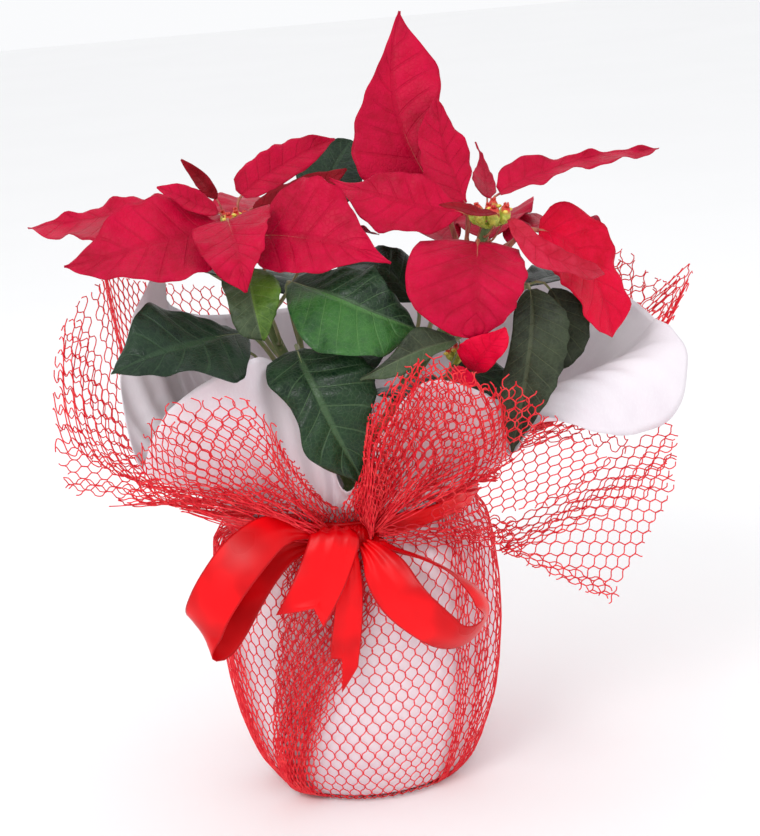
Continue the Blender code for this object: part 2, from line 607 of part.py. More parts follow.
def build_sheet(name, body, rim_rows, neck_radius, thickness, finish):
    """Sheet gathered round the pot: flat base, turned body, neck and flared rim."""
    columns = rim_columns(rim_rows)
    points = [(0, 0, body[0][1])]
    for angle, rim, out, up in columns:
        turn = math.radians(angle)
        for radius, height in body:
            points.append((radius * math.cos(turn), radius * math.sin(turn), height))
        for step in range(FLARE_STEPS + 1):
            points.append(flare_point(angle, rim, out, up, neck_radius, step / FLARE_STEPS))
    height_count = len(body) + FLARE_STEPS + 1
    faces = []
    for k in range(len(columns)):
        here = 1 + k * height_count
        after = 1 + ((k + 1) % len(columns)) * height_count
        faces.append((0, after, here))
        for row in range(height_count - 1):
            faces.append((here + row, after + row, after + row + 1, here + row + 1))
    sheet = add_object(name, points, faces, finish)
    shell = sheet.modifiers.new("thickness", "SOLIDIFY")
    shell.thickness = thickness * MM
    shell.offset = 0.0
    shell.use_rim = True


def strip_sections(line):
    """Loops of a flat ribbon along a smooth centre line, its width set by each point's share."""
    centres = [point for point, face, share in line]
    facings = [face for point, face, share in line]
    shares = [(share, 0, 0) for point, face, share in line]
    steps = 2 * (len(line) - 1)
    sections = []
    for row in range(steps + 1):
        place = row / steps
        centre = spline_point(centres, place)
        along = spline_direction(centres, place)
        facing = spline_point(facings, place)
        facing = (facing - along * facing.dot(along)).normalized()
        across = facing.cross(along)
        half = across * RIBBON_WIDTH * spline_point(shares, place)[0] / 2
        skin = facing * RIBBON_THICKNESS / 2
        left = centre - half
        right = centre + half
        sections.append([left - skin, right - skin, right + skin, left + skin])
    return sections


def build_ribbon():
    """Band round the neck, knot, two bow loops and two tails."""
    inner = NET_NECK_RADIUS + NET_THICKNESS / 2 + BAND_GAP
    outer = inner + RIBBON_THICKNESS
    sides = BAND_SIDES
    loops = []
    for radius, height in ((inner, BAND_LOW), (outer, BAND_LOW), (outer, BAND_HIGH), (inner, BAND_HIGH)):
        loop = []
        for k in range(sides):
            angle = 2 * math.pi * k / sides
            loop.append((radius * math.cos(angle), radius * math.sin(angle), height))
        loops.append(loop)
    points = [point for loop in loops for point in loop]
    faces = []
    for row in range(4):
        a = row * sides
        b = (row + 1) % 4 * sides
        for k in range(sides):
            after = (k + 1) % sides
            faces.append((a + k, a + after, b + after, b + k))
    add_object("ribbon_band", points, faces, RIBBON_RED)
    knot_rows = []
    for share, bulge in KNOT_ROWS:
        section = []
        for k in range(KNOT_SIDES):
            angle = 2 * math.pi * k / KNOT_SIDES
            section.append((
                KNOT_CENTRE[0] + KNOT_SIZE[0] * share,
                KNOT_CENTRE[1] + KNOT_SIZE[1] / 2 * bulge * math.cos(angle),
                KNOT_CENTRE[2] + KNOT_SIZE[2] / 2 * bulge * math.sin(angle),
            ))
        knot_rows.append(section)
    add_object("ribbon_knot", *loft(knot_rows), RIBBON_RED)
    for name, line in (
        ("bow_loop_left", LOOP_LEFT),
        ("bow_loop_right", LOOP_RIGHT),
        ("ribbon_tail_front", TAIL_FRONT),
        ("ribbon_tail_long", TAIL_LONG),
    ):
        add_object(name, *loft(strip_sections(line)), RIBBON_RED)


def main():
    clear_scene()
    build_pot()
    build_soil()
    build_stem()
    build_leaves(BRACTS, BRACT_RED)
    build_leaves(GREEN_LEAVES, LEAF_GREEN)
    build_cyathia()
    build_sheet("paper_wrap", PAPER_BODY, PAPER_RIM, PAPER_NECK_RADIUS, PAPER_THICKNESS, PAPER_WHITE)
    build_sheet("net_wrap", NET_BODY, NET_RIM, NET_NECK_RADIUS, NET_THICKNESS, NET_RED)
    build_ribbon()


main()
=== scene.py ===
"""Looks of the potted poinsettia in paper, net and ribbon.

The front faces -Y. Tables are in millimetres and are scaled by MM.
"""
import math

import bpy
import numpy as np
from mathutils import Matrix, Vector


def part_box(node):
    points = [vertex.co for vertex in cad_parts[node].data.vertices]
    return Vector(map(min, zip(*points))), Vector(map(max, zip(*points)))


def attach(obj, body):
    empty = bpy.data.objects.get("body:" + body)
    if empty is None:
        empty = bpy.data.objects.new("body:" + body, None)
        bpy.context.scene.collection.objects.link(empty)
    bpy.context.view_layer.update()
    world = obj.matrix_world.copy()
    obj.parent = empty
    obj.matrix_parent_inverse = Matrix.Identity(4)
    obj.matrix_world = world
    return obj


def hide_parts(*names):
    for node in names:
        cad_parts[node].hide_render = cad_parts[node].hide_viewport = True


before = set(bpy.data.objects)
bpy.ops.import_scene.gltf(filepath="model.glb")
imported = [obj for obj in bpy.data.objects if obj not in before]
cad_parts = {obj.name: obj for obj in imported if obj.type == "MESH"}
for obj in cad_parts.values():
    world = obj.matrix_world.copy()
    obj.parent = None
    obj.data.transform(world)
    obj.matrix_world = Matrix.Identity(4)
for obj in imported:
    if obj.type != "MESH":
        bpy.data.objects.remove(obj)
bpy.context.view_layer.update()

MM = 0.001

# Sizes shared with the CAD part
NECK_Z = 169.0
NET_NECK_RADIUS = 68.0
PAPER_NECK_RADIUS = 65.6
RIBBON_WIDTH = 25.0
BAND_LOW = 152.0
BAND_HIGH = 168.0
BAND_RADIUS = 69.4
KNOT_CENTRE = (3.0, -75.6, 158.0)
BLADE_SHOULDER = 0.62

# Thickness of each sheet and size of the net's cells
LEAF_THICKNESS = 0.38
PAPER_SHEET = 0.3
RIBBON_SHEET = 0.35
THREAD_RADIUS = 0.37
CELL_LENGTH = 11.6

# Swing of a strand of net, as a share of the gap to its neighbour, and how flat it is where the two meet
SWING = 0.49
SWING_FLATNESS = 1.9

# Pleats round the paper's side, and width of a pleat of its collar and of a fold of the net
SIDE_PLEATS = 26
COLLAR_PLEAT = 17
NET_FOLD = 43

# Fineness: distance between points of a leaf, points along one cell of the net, rows and columns of sheets
LEAF_STEP = 1.9
COLLAR_STEPS = 8
PANEL_STEPS = 9
BODY_STEPS = 7.25
PAPER_COLUMNS = 360
SIDE_ROWS = 39
FLARE_ROWS = 34
RIBBON_COLUMNS = 21

# How far from its ends a ribbon is gathered
PINCH_REACH = 9.0

# First seed of each kind of random draw, and the step from one layer or flap of net to the next
LEAF_SEED = 400
PAPER_SEED = 5
NET_WAVE_SEED = 24
FLARE_SEED, FLARE_SEED_STEP = 21, 7
FLAP_SEED, FLAP_SEED_STEP = 81, 5
BODY_SEED, BODY_FOLD_SEED, BODY_SEED_STEP = 31, 51, 3
CLUSTER_SEED = 61
SOIL_SEED = 71

# Shoots: points of the axis, radius at the foot and at the end
SHOOTS = {
    "trunk": ([(0, 0, 93), (0, 0, 129), (2, -4, 165)], 5.6, 4.8),
    "left": ([(2, -4, 161), (-13, -9, 205), (-35, -17, 263), (-43, -25, 312)], 3.6, 2.3),
    "right": ([(2, -4, 161), (26, -13, 205), (62, -27, 258), (82, -40, 304)], 3.6, 2.3),
    "low": ([(2, -4, 161), (22, -24, 185), (46, -50, 213), (60, -65, 242)], 2.6, 1.8),
}

# Each leaf: shoot, place along it, blade base, middle, tip, half width, direction the upper side faces,
# and fold in degrees and widest place where they aren't those of a plain blade
PLAIN_BLADE = (8, 0.42)
LEAVES = {
    "bract_right_tall": (
        "right", 0.86, (60, -22, 318), (42, -4, 365), (48, 12, 410), 24, (0.1, -1, 0.1), 12, 0.42),
    "bract_right_tall_side": (
        "right", 0.9, (72, -34, 316), (65, -24, 342), (62, -15, 368), 16, (0.6, -1, 0.2), 10, 0.45),
    "bract_right_dark": (
        "right", 0.82, (85, -12, 314), (86, 14, 324), (84, 34, 337), 10, (0.3, -0.8, 0.6), 15, 0.5),
    "bract_right_long": (
        "right", 0.9, (90, -30, 319), (127, -23, 330), (176, 0, 330), 12, (0, -0.4, 1), 14, 0.36),
    "bract_right_inner": (
        "right", 0.88, (70, -43, 313), (38, -45, 322), (5, -26, 333), 19, (-0.1, -0.9, 0.6), 8, 0.5),
    "bract_right_heart": (
        "right", 0.92, (76, -52, 299), (72, -82, 281), (70, -84, 258), 31, (0, -1, 0.35), 6, 0.36),
    "bract_right_folded": (
        "right", 0.95, (93, -48, 308), (110, -60, 291), (138, -50, 277), 9, (0.3, -0.9, 0.7), 22, 0.45),
    "bract_right_side": (
        "right", 0.8, (109, -27, 298), (132, -27, 279), (143, -30, 239), 24, (0.6, -0.8, 0.5), 8, 0.45),
    "bract_right_small": (
        "right", 0.97, (86, -54, 313), (74, -60, 316), (58, -60, 321), 4, (0, -0.5, 1), 15, 0.5),
    "bract_right_back": ("right", 0.72, (84, -14, 293), (92, 20, 299), (104, 58, 289), 21, (0, 0.3, 1)),
    "bract_right_back_left": ("right", 0.74, (64, -12, 291), (46, 26, 299), (34, 60, 289), 20, (0, 0.3, 1)),
    "bract_right_back_side": (
        "right", 0.76, (94, -18, 291), (124, 10, 293), (150, 36, 275), 19, (0.2, 0.2, 1)),
    "bract_left_big": ("left", 0.93, (-33, -42, 310), (-1, -60, 308), (32, -70, 296), 25, (0.15, -0.9, 0.5)),
    "bract_left_rising": (
        "left", 0.89, (-41, -10, 326), (-19, 10, 337), (9, 26, 346), 14, (0.1, -0.9, 0.6), 10, 0.45),
    "bract_left_front_left": (
        "left", 0.91, (-52, -38, 315), (-86, -53, 312), (-128, -60, 306), 24, (-0.1, -0.75, 0.7)),
    "bract_left_far": (
        "left", 0.86, (-68, -14, 320), (-107, -6, 321), (-153, -4, 317), 14, (0, -0.3, 1), 10, 0.4),
    "bract_left_heart": (
        "left", 0.95, (-47, -42, 319), (-42, -71, 308), (-39, -82, 290), 21, (0, -1, 0.6), 8, 0.37),
    "bract_left_thin": (
        "left", 0.98, (-53, -21, 327), (-59, -19, 336), (-69, -17, 348), 4, (-0.3, -0.9, 0.3), 20, 0.45),
    "bract_left_narrow": (
        "left", 0.97, (-52, -33, 322), (-65, -39, 330), (-80, -43, 339), 7, (0, -0.7, 0.7), 15, 0.45),
    "bract_left_inner": (
        "left", 0.94, (-35, -22, 321), (-11, -16, 325), (14, -10, 335), 8, (0, -0.7, 0.7), 12, 0.45),
    "bract_left_back": ("left", 0.82, (-42, -8, 311), (-36, 34, 315), (-30, 76, 307), 21, (0, 0.2, 1)),
    "bract_left_back_left": (
        "left", 0.8, (-54, -10, 305), (-80, 26, 309), (-106, 54, 299), 20, (-0.1, 0.2, 1)),
    "bract_left_back_right": ("left", 0.76, (-28, -8, 299), (-2, 10, 301), (28, 28, 293), 15, (0.1, 0.1, 1)),
    "bract_low_right": (
        "low", 0.95, (68, -79, 240), (74, -88, 252), (84, -92, 264), 10, (0, -0.9, 0.5), 12, 0.45),
    "bract_low_front": (
        "low", 0.9, (58, -80, 243), (62, -90, 241), (69, -93, 237), 4, (0, -1, 0.2), 15, 0.45),
    "leaf_front_left": (
        "left", 0.42, (-44, -52, 263), (-71, -84, 267), (-106, -100, 260), 23, (0, -0.7, 0.75)),
    "leaf_small_left": (
        "left", 0.58, (-40, -44, 294), (-37, -70, 282), (-34, -75, 264), 16, (0, -1, 0.5), 10, 0.4),
    "leaf_centre": ("left", 0.5, (-18, -42, 285), (10, -70, 278), (42, -74, 262), 23, (0, -0.75, 0.7)),
    "leaf_curled": ("low", 0.86, (60, -80, 257), (38, -92, 255), (12, -94, 245), 9, (0, -0.9, 0.5), 20, 0.45),
    "leaf_front_hanging": ("low", 0.3, (-18, -60, 254), (-8, -88, 232), (10, -87, 189), 23, (0, -1, 0.45)),
    "leaf_front_small": (
        "low", 0.18, (-38, -56, 229), (-27, -63, 226), (-19, -66, 216), 5, (0, -1, 0.3), 8, 0.45),
    "leaf_right_hanging": (
        "right", 0.62, (100, -58, 274), (96, -74, 247), (84, -79, 197), 18, (-0.1, -1, 0.3), 6, 0.45),
    "leaf_right_inner": (
        "right", 0.6, (114, -20, 265), (119, -27, 243), (108, -26, 223), 13, (0, -1, 0.3), 8, 0.45),
    "leaf_back_upper": (
        "left", 0.66, (-4, 38, 305), (5, 55, 323), (18, 68, 339), 18, (0, -0.9, 0.5), 8, 0.45),
    "leaf_back_left": ("left", 0.52, (-60, 14, 281), (-84, 42, 285), (-102, 66, 271), 22, (-0.2, 0.5, 1)),
    "leaf_back_middle": ("left", 0.4, (-24, 34, 263), (-22, 68, 269), (-18, 104, 253), 22, (0, 0.5, 1)),
    "leaf_back_right": ("right", 0.5, (62, 24, 265), (72, 60, 269), (84, 92, 253), 22, (0, 0.5, 1)),
    "leaf_side_right": ("right", 0.56, (104, 2, 263), (130, 22, 263), (152, 42, 247), 20, (0.4, 0.3, 1)),
    "leaf_side_left": ("left", 0.36, (-46, -10, 244), (-64, -16, 253), (-80, -22, 247), 15, (-0.4, -0.4, 1)),
    "leaf_inner_back": ("trunk", 0.9, (8, 30, 213), (12, 56, 227), (16, 84, 227), 18, (0, -0.3, 1)),
    "leaf_inner_right": ("right", 0.34, (56, -27, 226), (74, -35, 226), (90, -42, 213), 14, (0.2, -0.6, 0.8)),
    "leaf_inner_middle": ("right", 0.42, (44, 6, 259), (26, 22, 275), (4, 34, 275), 20, (0, -0.5, 1)),
    "leaf_inner_left": ("left", 0.22, (-27, -22, 216), (-45, -31, 230), (-62, -37, 231), 12, (0, -0.7, 0.8)),
    "leaf_inner_front": ("right", 0.2, (30, -36, 219), (34, -62, 231), (40, -84, 225), 17, (0, -0.6, 0.9)),
}

# Outline of a blade that isn't the plain pointed oval: half widths on the left and on the right at these
# places. An outline with nine widths has one more at the finer place.
OUTLINE_PLACES = [0.03, 0.12, 0.25, 0.4, 0.55, 0.7, 0.85, 0.96]
FINER_PLACE = 0.5
OUTLINES = {
    "bract_right_tall": ((12, 22, 32, 26, 16, 7, 2, 1), (14, 17, 20, 20, 24, 24, 14, 2)),
    "bract_right_tall_side": ((10, 16, 20, 20, 17, 14, 8, 2), (1, 4, 10, 12, 11, 7, 4, 1)),
    "bract_right_dark": ((7, 8, 9, 7, 4, 1.5, 0.6, 0.5), (2, 5, 5, 4, 3, 1, 0.6, 0.5)),
    "bract_right_long": ((9, 13, 12, 8, 4, 2, 2, 1), (9, 10, 11, 13, 13, 13, 9, 3)),
    "bract_right_inner": ((2, 9, 16, 16, 20, 14, 5, 1), (2, 8, 13, 16, 14, 10, 2, 1)),
    "bract_right_heart": ((20, 21, 24, 24, 21, 18, 12, 4), (27, 31, 34, 35, 34, 30, 19, 9)),
    "bract_right_folded": ((4, 5, 5, 5, 6, 6, 4, 3), (2, 5, 8, 12, 9, 6, 7, 2)),
    "bract_right_side": ((12, 19, 21, 22, 18, 16, 16, 7), (12, 22, 26, 27, 26, 24, 18, 9)),
    "bract_low_right": ((5, 8, 12, 12, 10, 6, 3, 1), (2, 4, 6, 7, 7, 8, 7, 4)),
    "bract_left_far": ((14, 26, 36, 40, 39, 33, 20, 7), (6, 9, 12, 13, 11, 6, 3, 2)),
    "bract_left_front_left": ((10, 20, 30, 28, 26, 20, 12, 4), (8, 14, 21, 26, 26, 19, 9, 2)),
    "bract_left_heart": ((22, 22, 20, 17, 13, 9, 4, 1), (18, 19, 19, 18, 16, 13, 8, 2)),
    "bract_left_big": ((10, 22, 30, 30, 26, 14, 4, 1), (12, 19, 20, 21, 19, 11, 5, 1)),
    "bract_left_rising": ((8, 10, 11, 11, 11, 10, 6, 2), (6, 8, 10, 10, 10, 9, 6, 1)),
    "leaf_front_left": ((6, 13, 24, 34, 25, 17, 12, 8, 3), (4, 7, 15, 22, 29, 30, 24, 12, 4)),
    "leaf_small_left": ((5, 10, 14, 15, 13, 10, 6, 3), (8, 14, 13, 12, 12, 12, 10, 4)),
    "leaf_centre": ((8, 10, 14, 20, 23, 14, 12, 4), (7, 13, 21, 30, 32, 28, 22, 3)),
    "leaf_curled": ((2, 4, 4, 6, 8, 8, 5, 1), (2, 5, 9, 11, 7, 3, 1, 0)),
    "leaf_front_hanging": ((6, 14, 24, 31, 29, 19, 11, 3), (15, 18, 20, 14, 14, 19, 12, 3)),
    "leaf_front_small": ((2, 2, 2, 3, 3, 3, 2, 1), (1, 2, 3, 4, 4, 4, 3, 2)),
    "leaf_right_hanging": ((6, 11, 18, 19, 18, 15, 8, 2), (4, 7, 9, 9, 10, 12, 9, 3)),
}

# Form of a blade: vein pairs, cupping of the edges, ruffle height and waves, quilting height,
# twist in degrees along the blade. A leaf that isn't named takes the plain form of its kind.
FORMS = {
    "bract": (7, 0.05, 1.4, 2.6, 0.5, 4),
    "leaf": (7, -0.08, 1.6, 2.2, 0.6, 4),
    "bract_right_heart": (6, -0.04, 1.2, 1.6, 0.9, 0),
    "bract_right_tall": (8, 0.03, 1.0, 2.0, 0.5, 4),
    "bract_right_long": (8, 0.10, 2.6, 3.2, 0.4, 10),
    "bract_left_far": (9, 0.10, 2.4, 3.4, 0.4, 8),
    "bract_left_rising": (7, 0.05, 1.2, 2.6, 0.9, 4),
    "leaf_front_hanging": (7, -0.05, 1.8, 2.0, 1.1, 0),
    "leaf_right_hanging": (11, -0.05, 1.2, 2.0, 0.7, 0),
    "leaf_centre": (8, -0.05, 1.8, 2.2, 0.8, 0),
}

# Which finish each leaf takes; the rest take the plain finish of their kind. The lighter and darker copies of
# the bract red are painted light and painted shade
FINISHES = {
    "bract": "bract_red",
    "leaf": "leaf_green",
    "bract_left_inner": "bract_shaded_red",
    "bract_right_side": "bract_lit_red",
    "bract_low_right": "bract_lit_red",
    "bract_low_front": "bract_lit_red",
    "bract_right_folded": "bract_pink",
    "bract_right_small": "bract_shaded_red",
    "bract_left_thin": "bract_shaded_red",
    "leaf_small_left": "leaf_lime",
    "leaf_curled": "leaf_grey",
    "leaf_front_hanging": "leaf_veined",
    "leaf_centre": "leaf_veined",
    "leaf_right_hanging": "leaf_olive",
    "leaf_right_inner": "leaf_olive",
}

# Finish of the right half of a blade whose halves catch the light differently: painted light on the right
# half of leaf_centre and painted shade on the right halves of the other two
RIGHT_HALVES = {"leaf_centre": "leaf_bright", "leaf_small_left": "leaf_grey", "leaf_curled": "leaf_olive"}

# Side of each sheet round the pot: radius and height
NET_BODY = [
    (30, 0.6), (48, 0.6), (54.5, 1.4), (58.5, 6), (63, 15), (67, 27), (70.5, 41), (73.5, 60), (75.5, 82),
    (76.5, 106), (76, 128), (74.5, 141), (70, 148), (68.3, 153), (68, 161), (68, 169),
]
PAPER_BODY = [
    (51, 1.9), (53.4, 2.4), (56.6, 7.4), (60.9, 16), (64.9, 28), (68.3, 42), (71.2, 61), (73.1, 83),
    (74, 107), (73.5, 127), (72.4, 139.5), (67.5, 146.5), (65.9, 152), (65.6, 161), (65.6, 169),
]

# Rim of each sheet: angle at the neck, rim point, outward and upward bulge half way
NET_RIM = [
    (0, 150, -2, 165, 0, 8), (10, 172, 22, 209, 6, 0), (18, 198, 32, 259, 8, -12),
    (27, 180, 44, 251, 8, -12), (36, 160, 62, 267, 10, -12), (55, 112, 98, 249, 12, -12),
    (75, 50, 124, 255, 12, -12), (95, -15, 130, 239, 12, -12), (115, -70, 112, 255, 12, -12),
    (138, -104, 78, 267, 12, -12), (158, -118, 36, 281, 12, -12), (174, -118, -8, 289, 14, -14),
    (184, -130, -25, 281, 14, -16), (192, -142, -30, 261, 14, -16), (200, -148, -35, 223, 10, -8),
    (207, -146, -42, 186, 2, 4), (213, -122, -60, 181, 0, 2), (220, -108, -76, 198, 6, -4),
    (227, -98, -88, 220, 8, -8), (234, -88, -95, 239, 10, -10), (242, -62, -105, 247, 10, -10),
    (249, -37, -112, 243, 10, -8), (255, -28, -104, 218, 8, -4), (261, -17, -90, 194, 4, 0),
    (266, -6, -79, 176, 0, 0), (272, 10, -101, 203, 4, -2), (278, 16, -110, 235, 8, -6),
    (287, 34, -108, 253, 8, -8), (296, 50, -106, 257, 8, -8), (304, 78, -99, 235, 8, -6),
    (311, 84, -88, 199, 6, 0), (317, 102, -84, 209, 6, -2), (322, 124, -78, 189, 4, 0),
    (327, 150, -60, 184, 0, 2), (332, 172, -38, 182, 0, 2), (337, 174, -30, 161, 0, 6),
    (342, 165, -46, 138, 0, 8), (347, 150, -60, 121, 0, 10), (352, 130, -72, 110, 0, 10),
    (356, 142, -40, 131, 0, 10),
]
PAPER_RIM = [
    (0, 172, 12, 237, 10, 0), (12, 160, 40, 245, 8, -4), (28, 134, 72, 251, 8, -8),
    (50, 94, 94, 249, 8, -8), (72, 42, 110, 247, 8, -8), (95, -14, 114, 239, 8, -8),
    (118, -62, 96, 241, 8, -8), (142, -86, 62, 253, 8, -8), (164, -92, 24, 275, 8, -8),
    (182, -84, -2, 297, 8, -8), (194, -92, -22, 289, 8, -8), (204, -103, -36, 269, 8, -8),
    (211, -110, -46, 239, 8, -6), (218, -104, -58, 199, 4, 0), (226, -94, -74, 218, 4, -4),
    (234, -80, -84, 237, 6, -6), (244, -46, -80, 255, 6, -6), (254, -29, -65, 249, 6, -4),
    (262, -10, -72, 218, 2, 0), (268, 0, -75, 183, 0, 0), (275, 18, -90, 213, 4, -2),
    (286, 42, -95, 241, 6, -6), (298, 74, -92, 229, 6, -4), (308, 82, -81, 197, 4, 0),
    (316, 102, -66, 209, 4, 4), (323, 126, -62, 199, 6, 26), (330, 150, -48, 191, 14, 40),
    (338, 174, -34, 195, 18, 42), (346, 184, -16, 217, 18, 30), (353, 180, 0, 231, 14, 14),
]

# Ribbon strips: point, the direction the ribbon's face looks, and its share of the full width
LOOP_LEFT = [
    (-5.2, -78.2, 161.5, 0, -0.8, 0.6, 0.28), (-16, -80.5, 164.1, -0.1, -0.8, 0.6, 0.3),
    (-23.7, -82.5, 167.1, -0.1, -0.8, 0.6, 0.4), (-31.5, -86, 169.6, -0.1, -0.8, 0.6, 0.62),
    (-41.4, -91, 168.6, -0.2, -0.85, 0.5, 0.85), (-53.3, -97, 160.8, -0.35, -0.9, 0.3, 1),
    (-64.9, -101, 148.1, -0.45, -0.9, 0.1, 1), (-73.1, -102, 136, -0.6, -0.8, -0.1, 1),
    (-77.1, -98, 124.6, -0.7, -0.3, -0.65, 1), (-73.2, -93, 117.3, -0.3, 0.7, -0.65, 1),
    (-65.4, -90, 125.6, 0.2, 0.95, -0.2, 1), (-57.2, -88, 138.1, 0.3, 0.95, -0.1, 1),
    (-47.6, -86, 148.8, 0.2, 0.95, -0.3, 0.9), (-34.9, -82, 156.3, 0.1, 0.9, -0.5, 0.65),
    (-21.7, -78, 157.9, 0, 0.9, -0.5, 0.35), (-5.2, -75.4, 156, 0, 0.9, -0.5, 0.28),
]
LOOP_RIGHT = [
    (6.5, -82.5, 157.4, 0.2, -0.95, -0.1, 0.3), (11.5, -87, 151.6, 0.15, -1, 0, 0.6),
    (16.2, -92, 144, 0.05, -1, -0.1, 0.9), (23.1, -98, 132.3, -0.05, -1, -0.15, 1),
    (33.1, -102, 121.8, -0.1, -0.95, -0.3, 1), (44.8, -103, 112.5, 0, -0.85, -0.55, 1),
    (55.3, -102, 111.1, 0.4, -0.6, -0.7, 0.95), (62.4, -97, 115.4, 0.9, -0.2, -0.3, 0.9),
    (62.9, -92, 123, 0.8, -0.2, 0.5, 0.75), (57.6, -89, 131.5, 0.55, 0, 0.8, 0.7),
    (47.3, -86, 139.9, 0.3, 0.3, 0.9, 0.65), (33.9, -83, 147, 0.3, 0.35, 0.9, 0.6),
    (20.3, -79.5, 151.8, 0.3, 0.4, 0.85, 0.4), (11.2, -76.2, 156.5, 0.3, 0.4, 0.85, 0.3),
]
TAIL_FRONT = [
    (-6.8, -82, 165.9, 0, -0.6, 0.8, 0.75), (-7.5, -87.5, 163.7, 0, -0.9, 0.4, 0.98),
    (-10.1, -91, 156.7, 0, -1, 0.1, 1), (-15, -94, 146.6, 0.05, -1, 0.1, 1),
    (-20.9, -97, 136.6, 0.1, -1, 0, 1), (-26.7, -99, 127.8, 0.1, -1, -0.05, 1),
    (-29.7, -99, 123.2, 0.1, -1, -0.1, 1),
]
TAIL_LONG = [
    (-2.1, -82, 156.4, 0, -1, -0.2, 0.35), (-1.8, -85, 148.9, 0, -1, -0.1, 0.42),
    (-2.6, -87, 134.7, 0, -1, 0.1, 0.52), (-5.1, -87, 117.6, 0, -1, 0.15, 0.58),
    (-8.3, -85, 99, 0, -1, 0.2, 0.6), (-11.6, -84, 78.3, 0, -1, 0.2, 0.58),
]

# Cut ends of the tails: place across, -1 to 1, and how much shorter the ribbon is there
TAIL_FRONT_CUT = [(-1, 0), (0.2, 12), (1, 4)]
TAIL_LONG_CUT = [(-1, 18), (-0.15, 19), (0, 0), (1, 15)]


# Node materials

class Graph:
    """Builds one node material with a Principled shader."""

    def __init__(self, name, roughness=0.5, **constants):
        self.material = bpy.data.materials.new(name)
        self.material.use_nodes = True
        self.tree = self.material.node_tree
        self.shader = self.tree.nodes["Principled BSDF"]
        self.shader.inputs["Roughness"].default_value = roughness
        for key, value in constants.items():
            self.put(self.shader.inputs[key.replace("_", " ").title().replace("Ior", "IOR")], value)
        self.where = self.add("ShaderNodeTexCoord").outputs["Object"]

    def add(self, kind, inputs=None, **settings):
        made = self.tree.nodes.new(kind)
        for key, value in settings.items():
            setattr(made, key, value)
        for key, value in (inputs or {}).items():
            self.put(made.inputs[key], value)
        return made

    def put(self, socket, value):
        if isinstance(value, bpy.types.NodeSocket):
            self.tree.links.new(value, socket)
        elif socket.type == "RGBA":
            socket.default_value = (*value, 1.0)
        else:
            socket.default_value = value

    def math(self, operation, *values):
        return self.add("ShaderNodeMath", dict(enumerate(values)), operation=operation).outputs[0]

    def times(self, a, b, plus=0.0):
        return self.math("MULTIPLY_ADD", a, b, plus)

    def ramp(self, value, low, high):
        """0 below low and 1 above high, smooth between."""
        made = self.add("ShaderNodeMapRange", {0: value, 1: low, 2: high}, interpolation_type="SMOOTHSTEP")
        return made.outputs[0]

    def below(self, value, low, high):
        """1 below low and 0 above high, smooth between."""
        return self.math("SUBTRACT", 1.0, self.ramp(value, low, high))

    def mix(self, share, a, b):
        return self.add("ShaderNodeMix", {0: share, 6: a, 7: b}, data_type="RGBA").outputs[2]

    def noise(self, where, scale, detail=2.0, roughness=0.5):
        inputs = {"Vector": where, "Scale": scale, "Detail": detail, "Roughness": roughness}
        return self.add("ShaderNodeTexNoise", inputs).outputs["Fac"]

    def patches(self, where, scale, detail, low=0.3, high=0.7, roughness=0.5):
        return self.ramp(self.noise(where, scale, detail, roughness), low, high)

    def cells(self, scale, feature="DISTANCE_TO_EDGE"):
        inputs = {"Vector": self.where, "Scale": scale}
        return self.add("ShaderNodeTexVoronoi", inputs, feature=feature).outputs["Distance"]

    def uv(self, layer):
        """The coordinates of a UV layer, one by one."""
        pair = self.add("ShaderNodeUVMap", uv_map=layer).outputs[0]
        return self.add("ShaderNodeSeparateXYZ", {0: pair}).outputs

    def stretched(self, scale):
        inputs = {0: self.where, 1: (1.0, 1.0, scale)}
        return self.add("ShaderNodeVectorMath", inputs, operation="MULTIPLY").outputs[0]

    def bump(self, height, strength, distance):
        inputs = {"Height": height, "Strength": strength, "Distance": distance}
        return self.add("ShaderNodeBump", inputs).outputs[0]

    def finish(self, colour, normal=None, roughness=None):
        for key, value in (("Base Color", colour), ("Normal", normal), ("Roughness", roughness)):
            if value is not None:
                self.put(self.shader.inputs[key], value)
        return self.material


PINK = (1.0, 0.45, 0.55)
SOFT = (0.75, 0.9, 0.8)
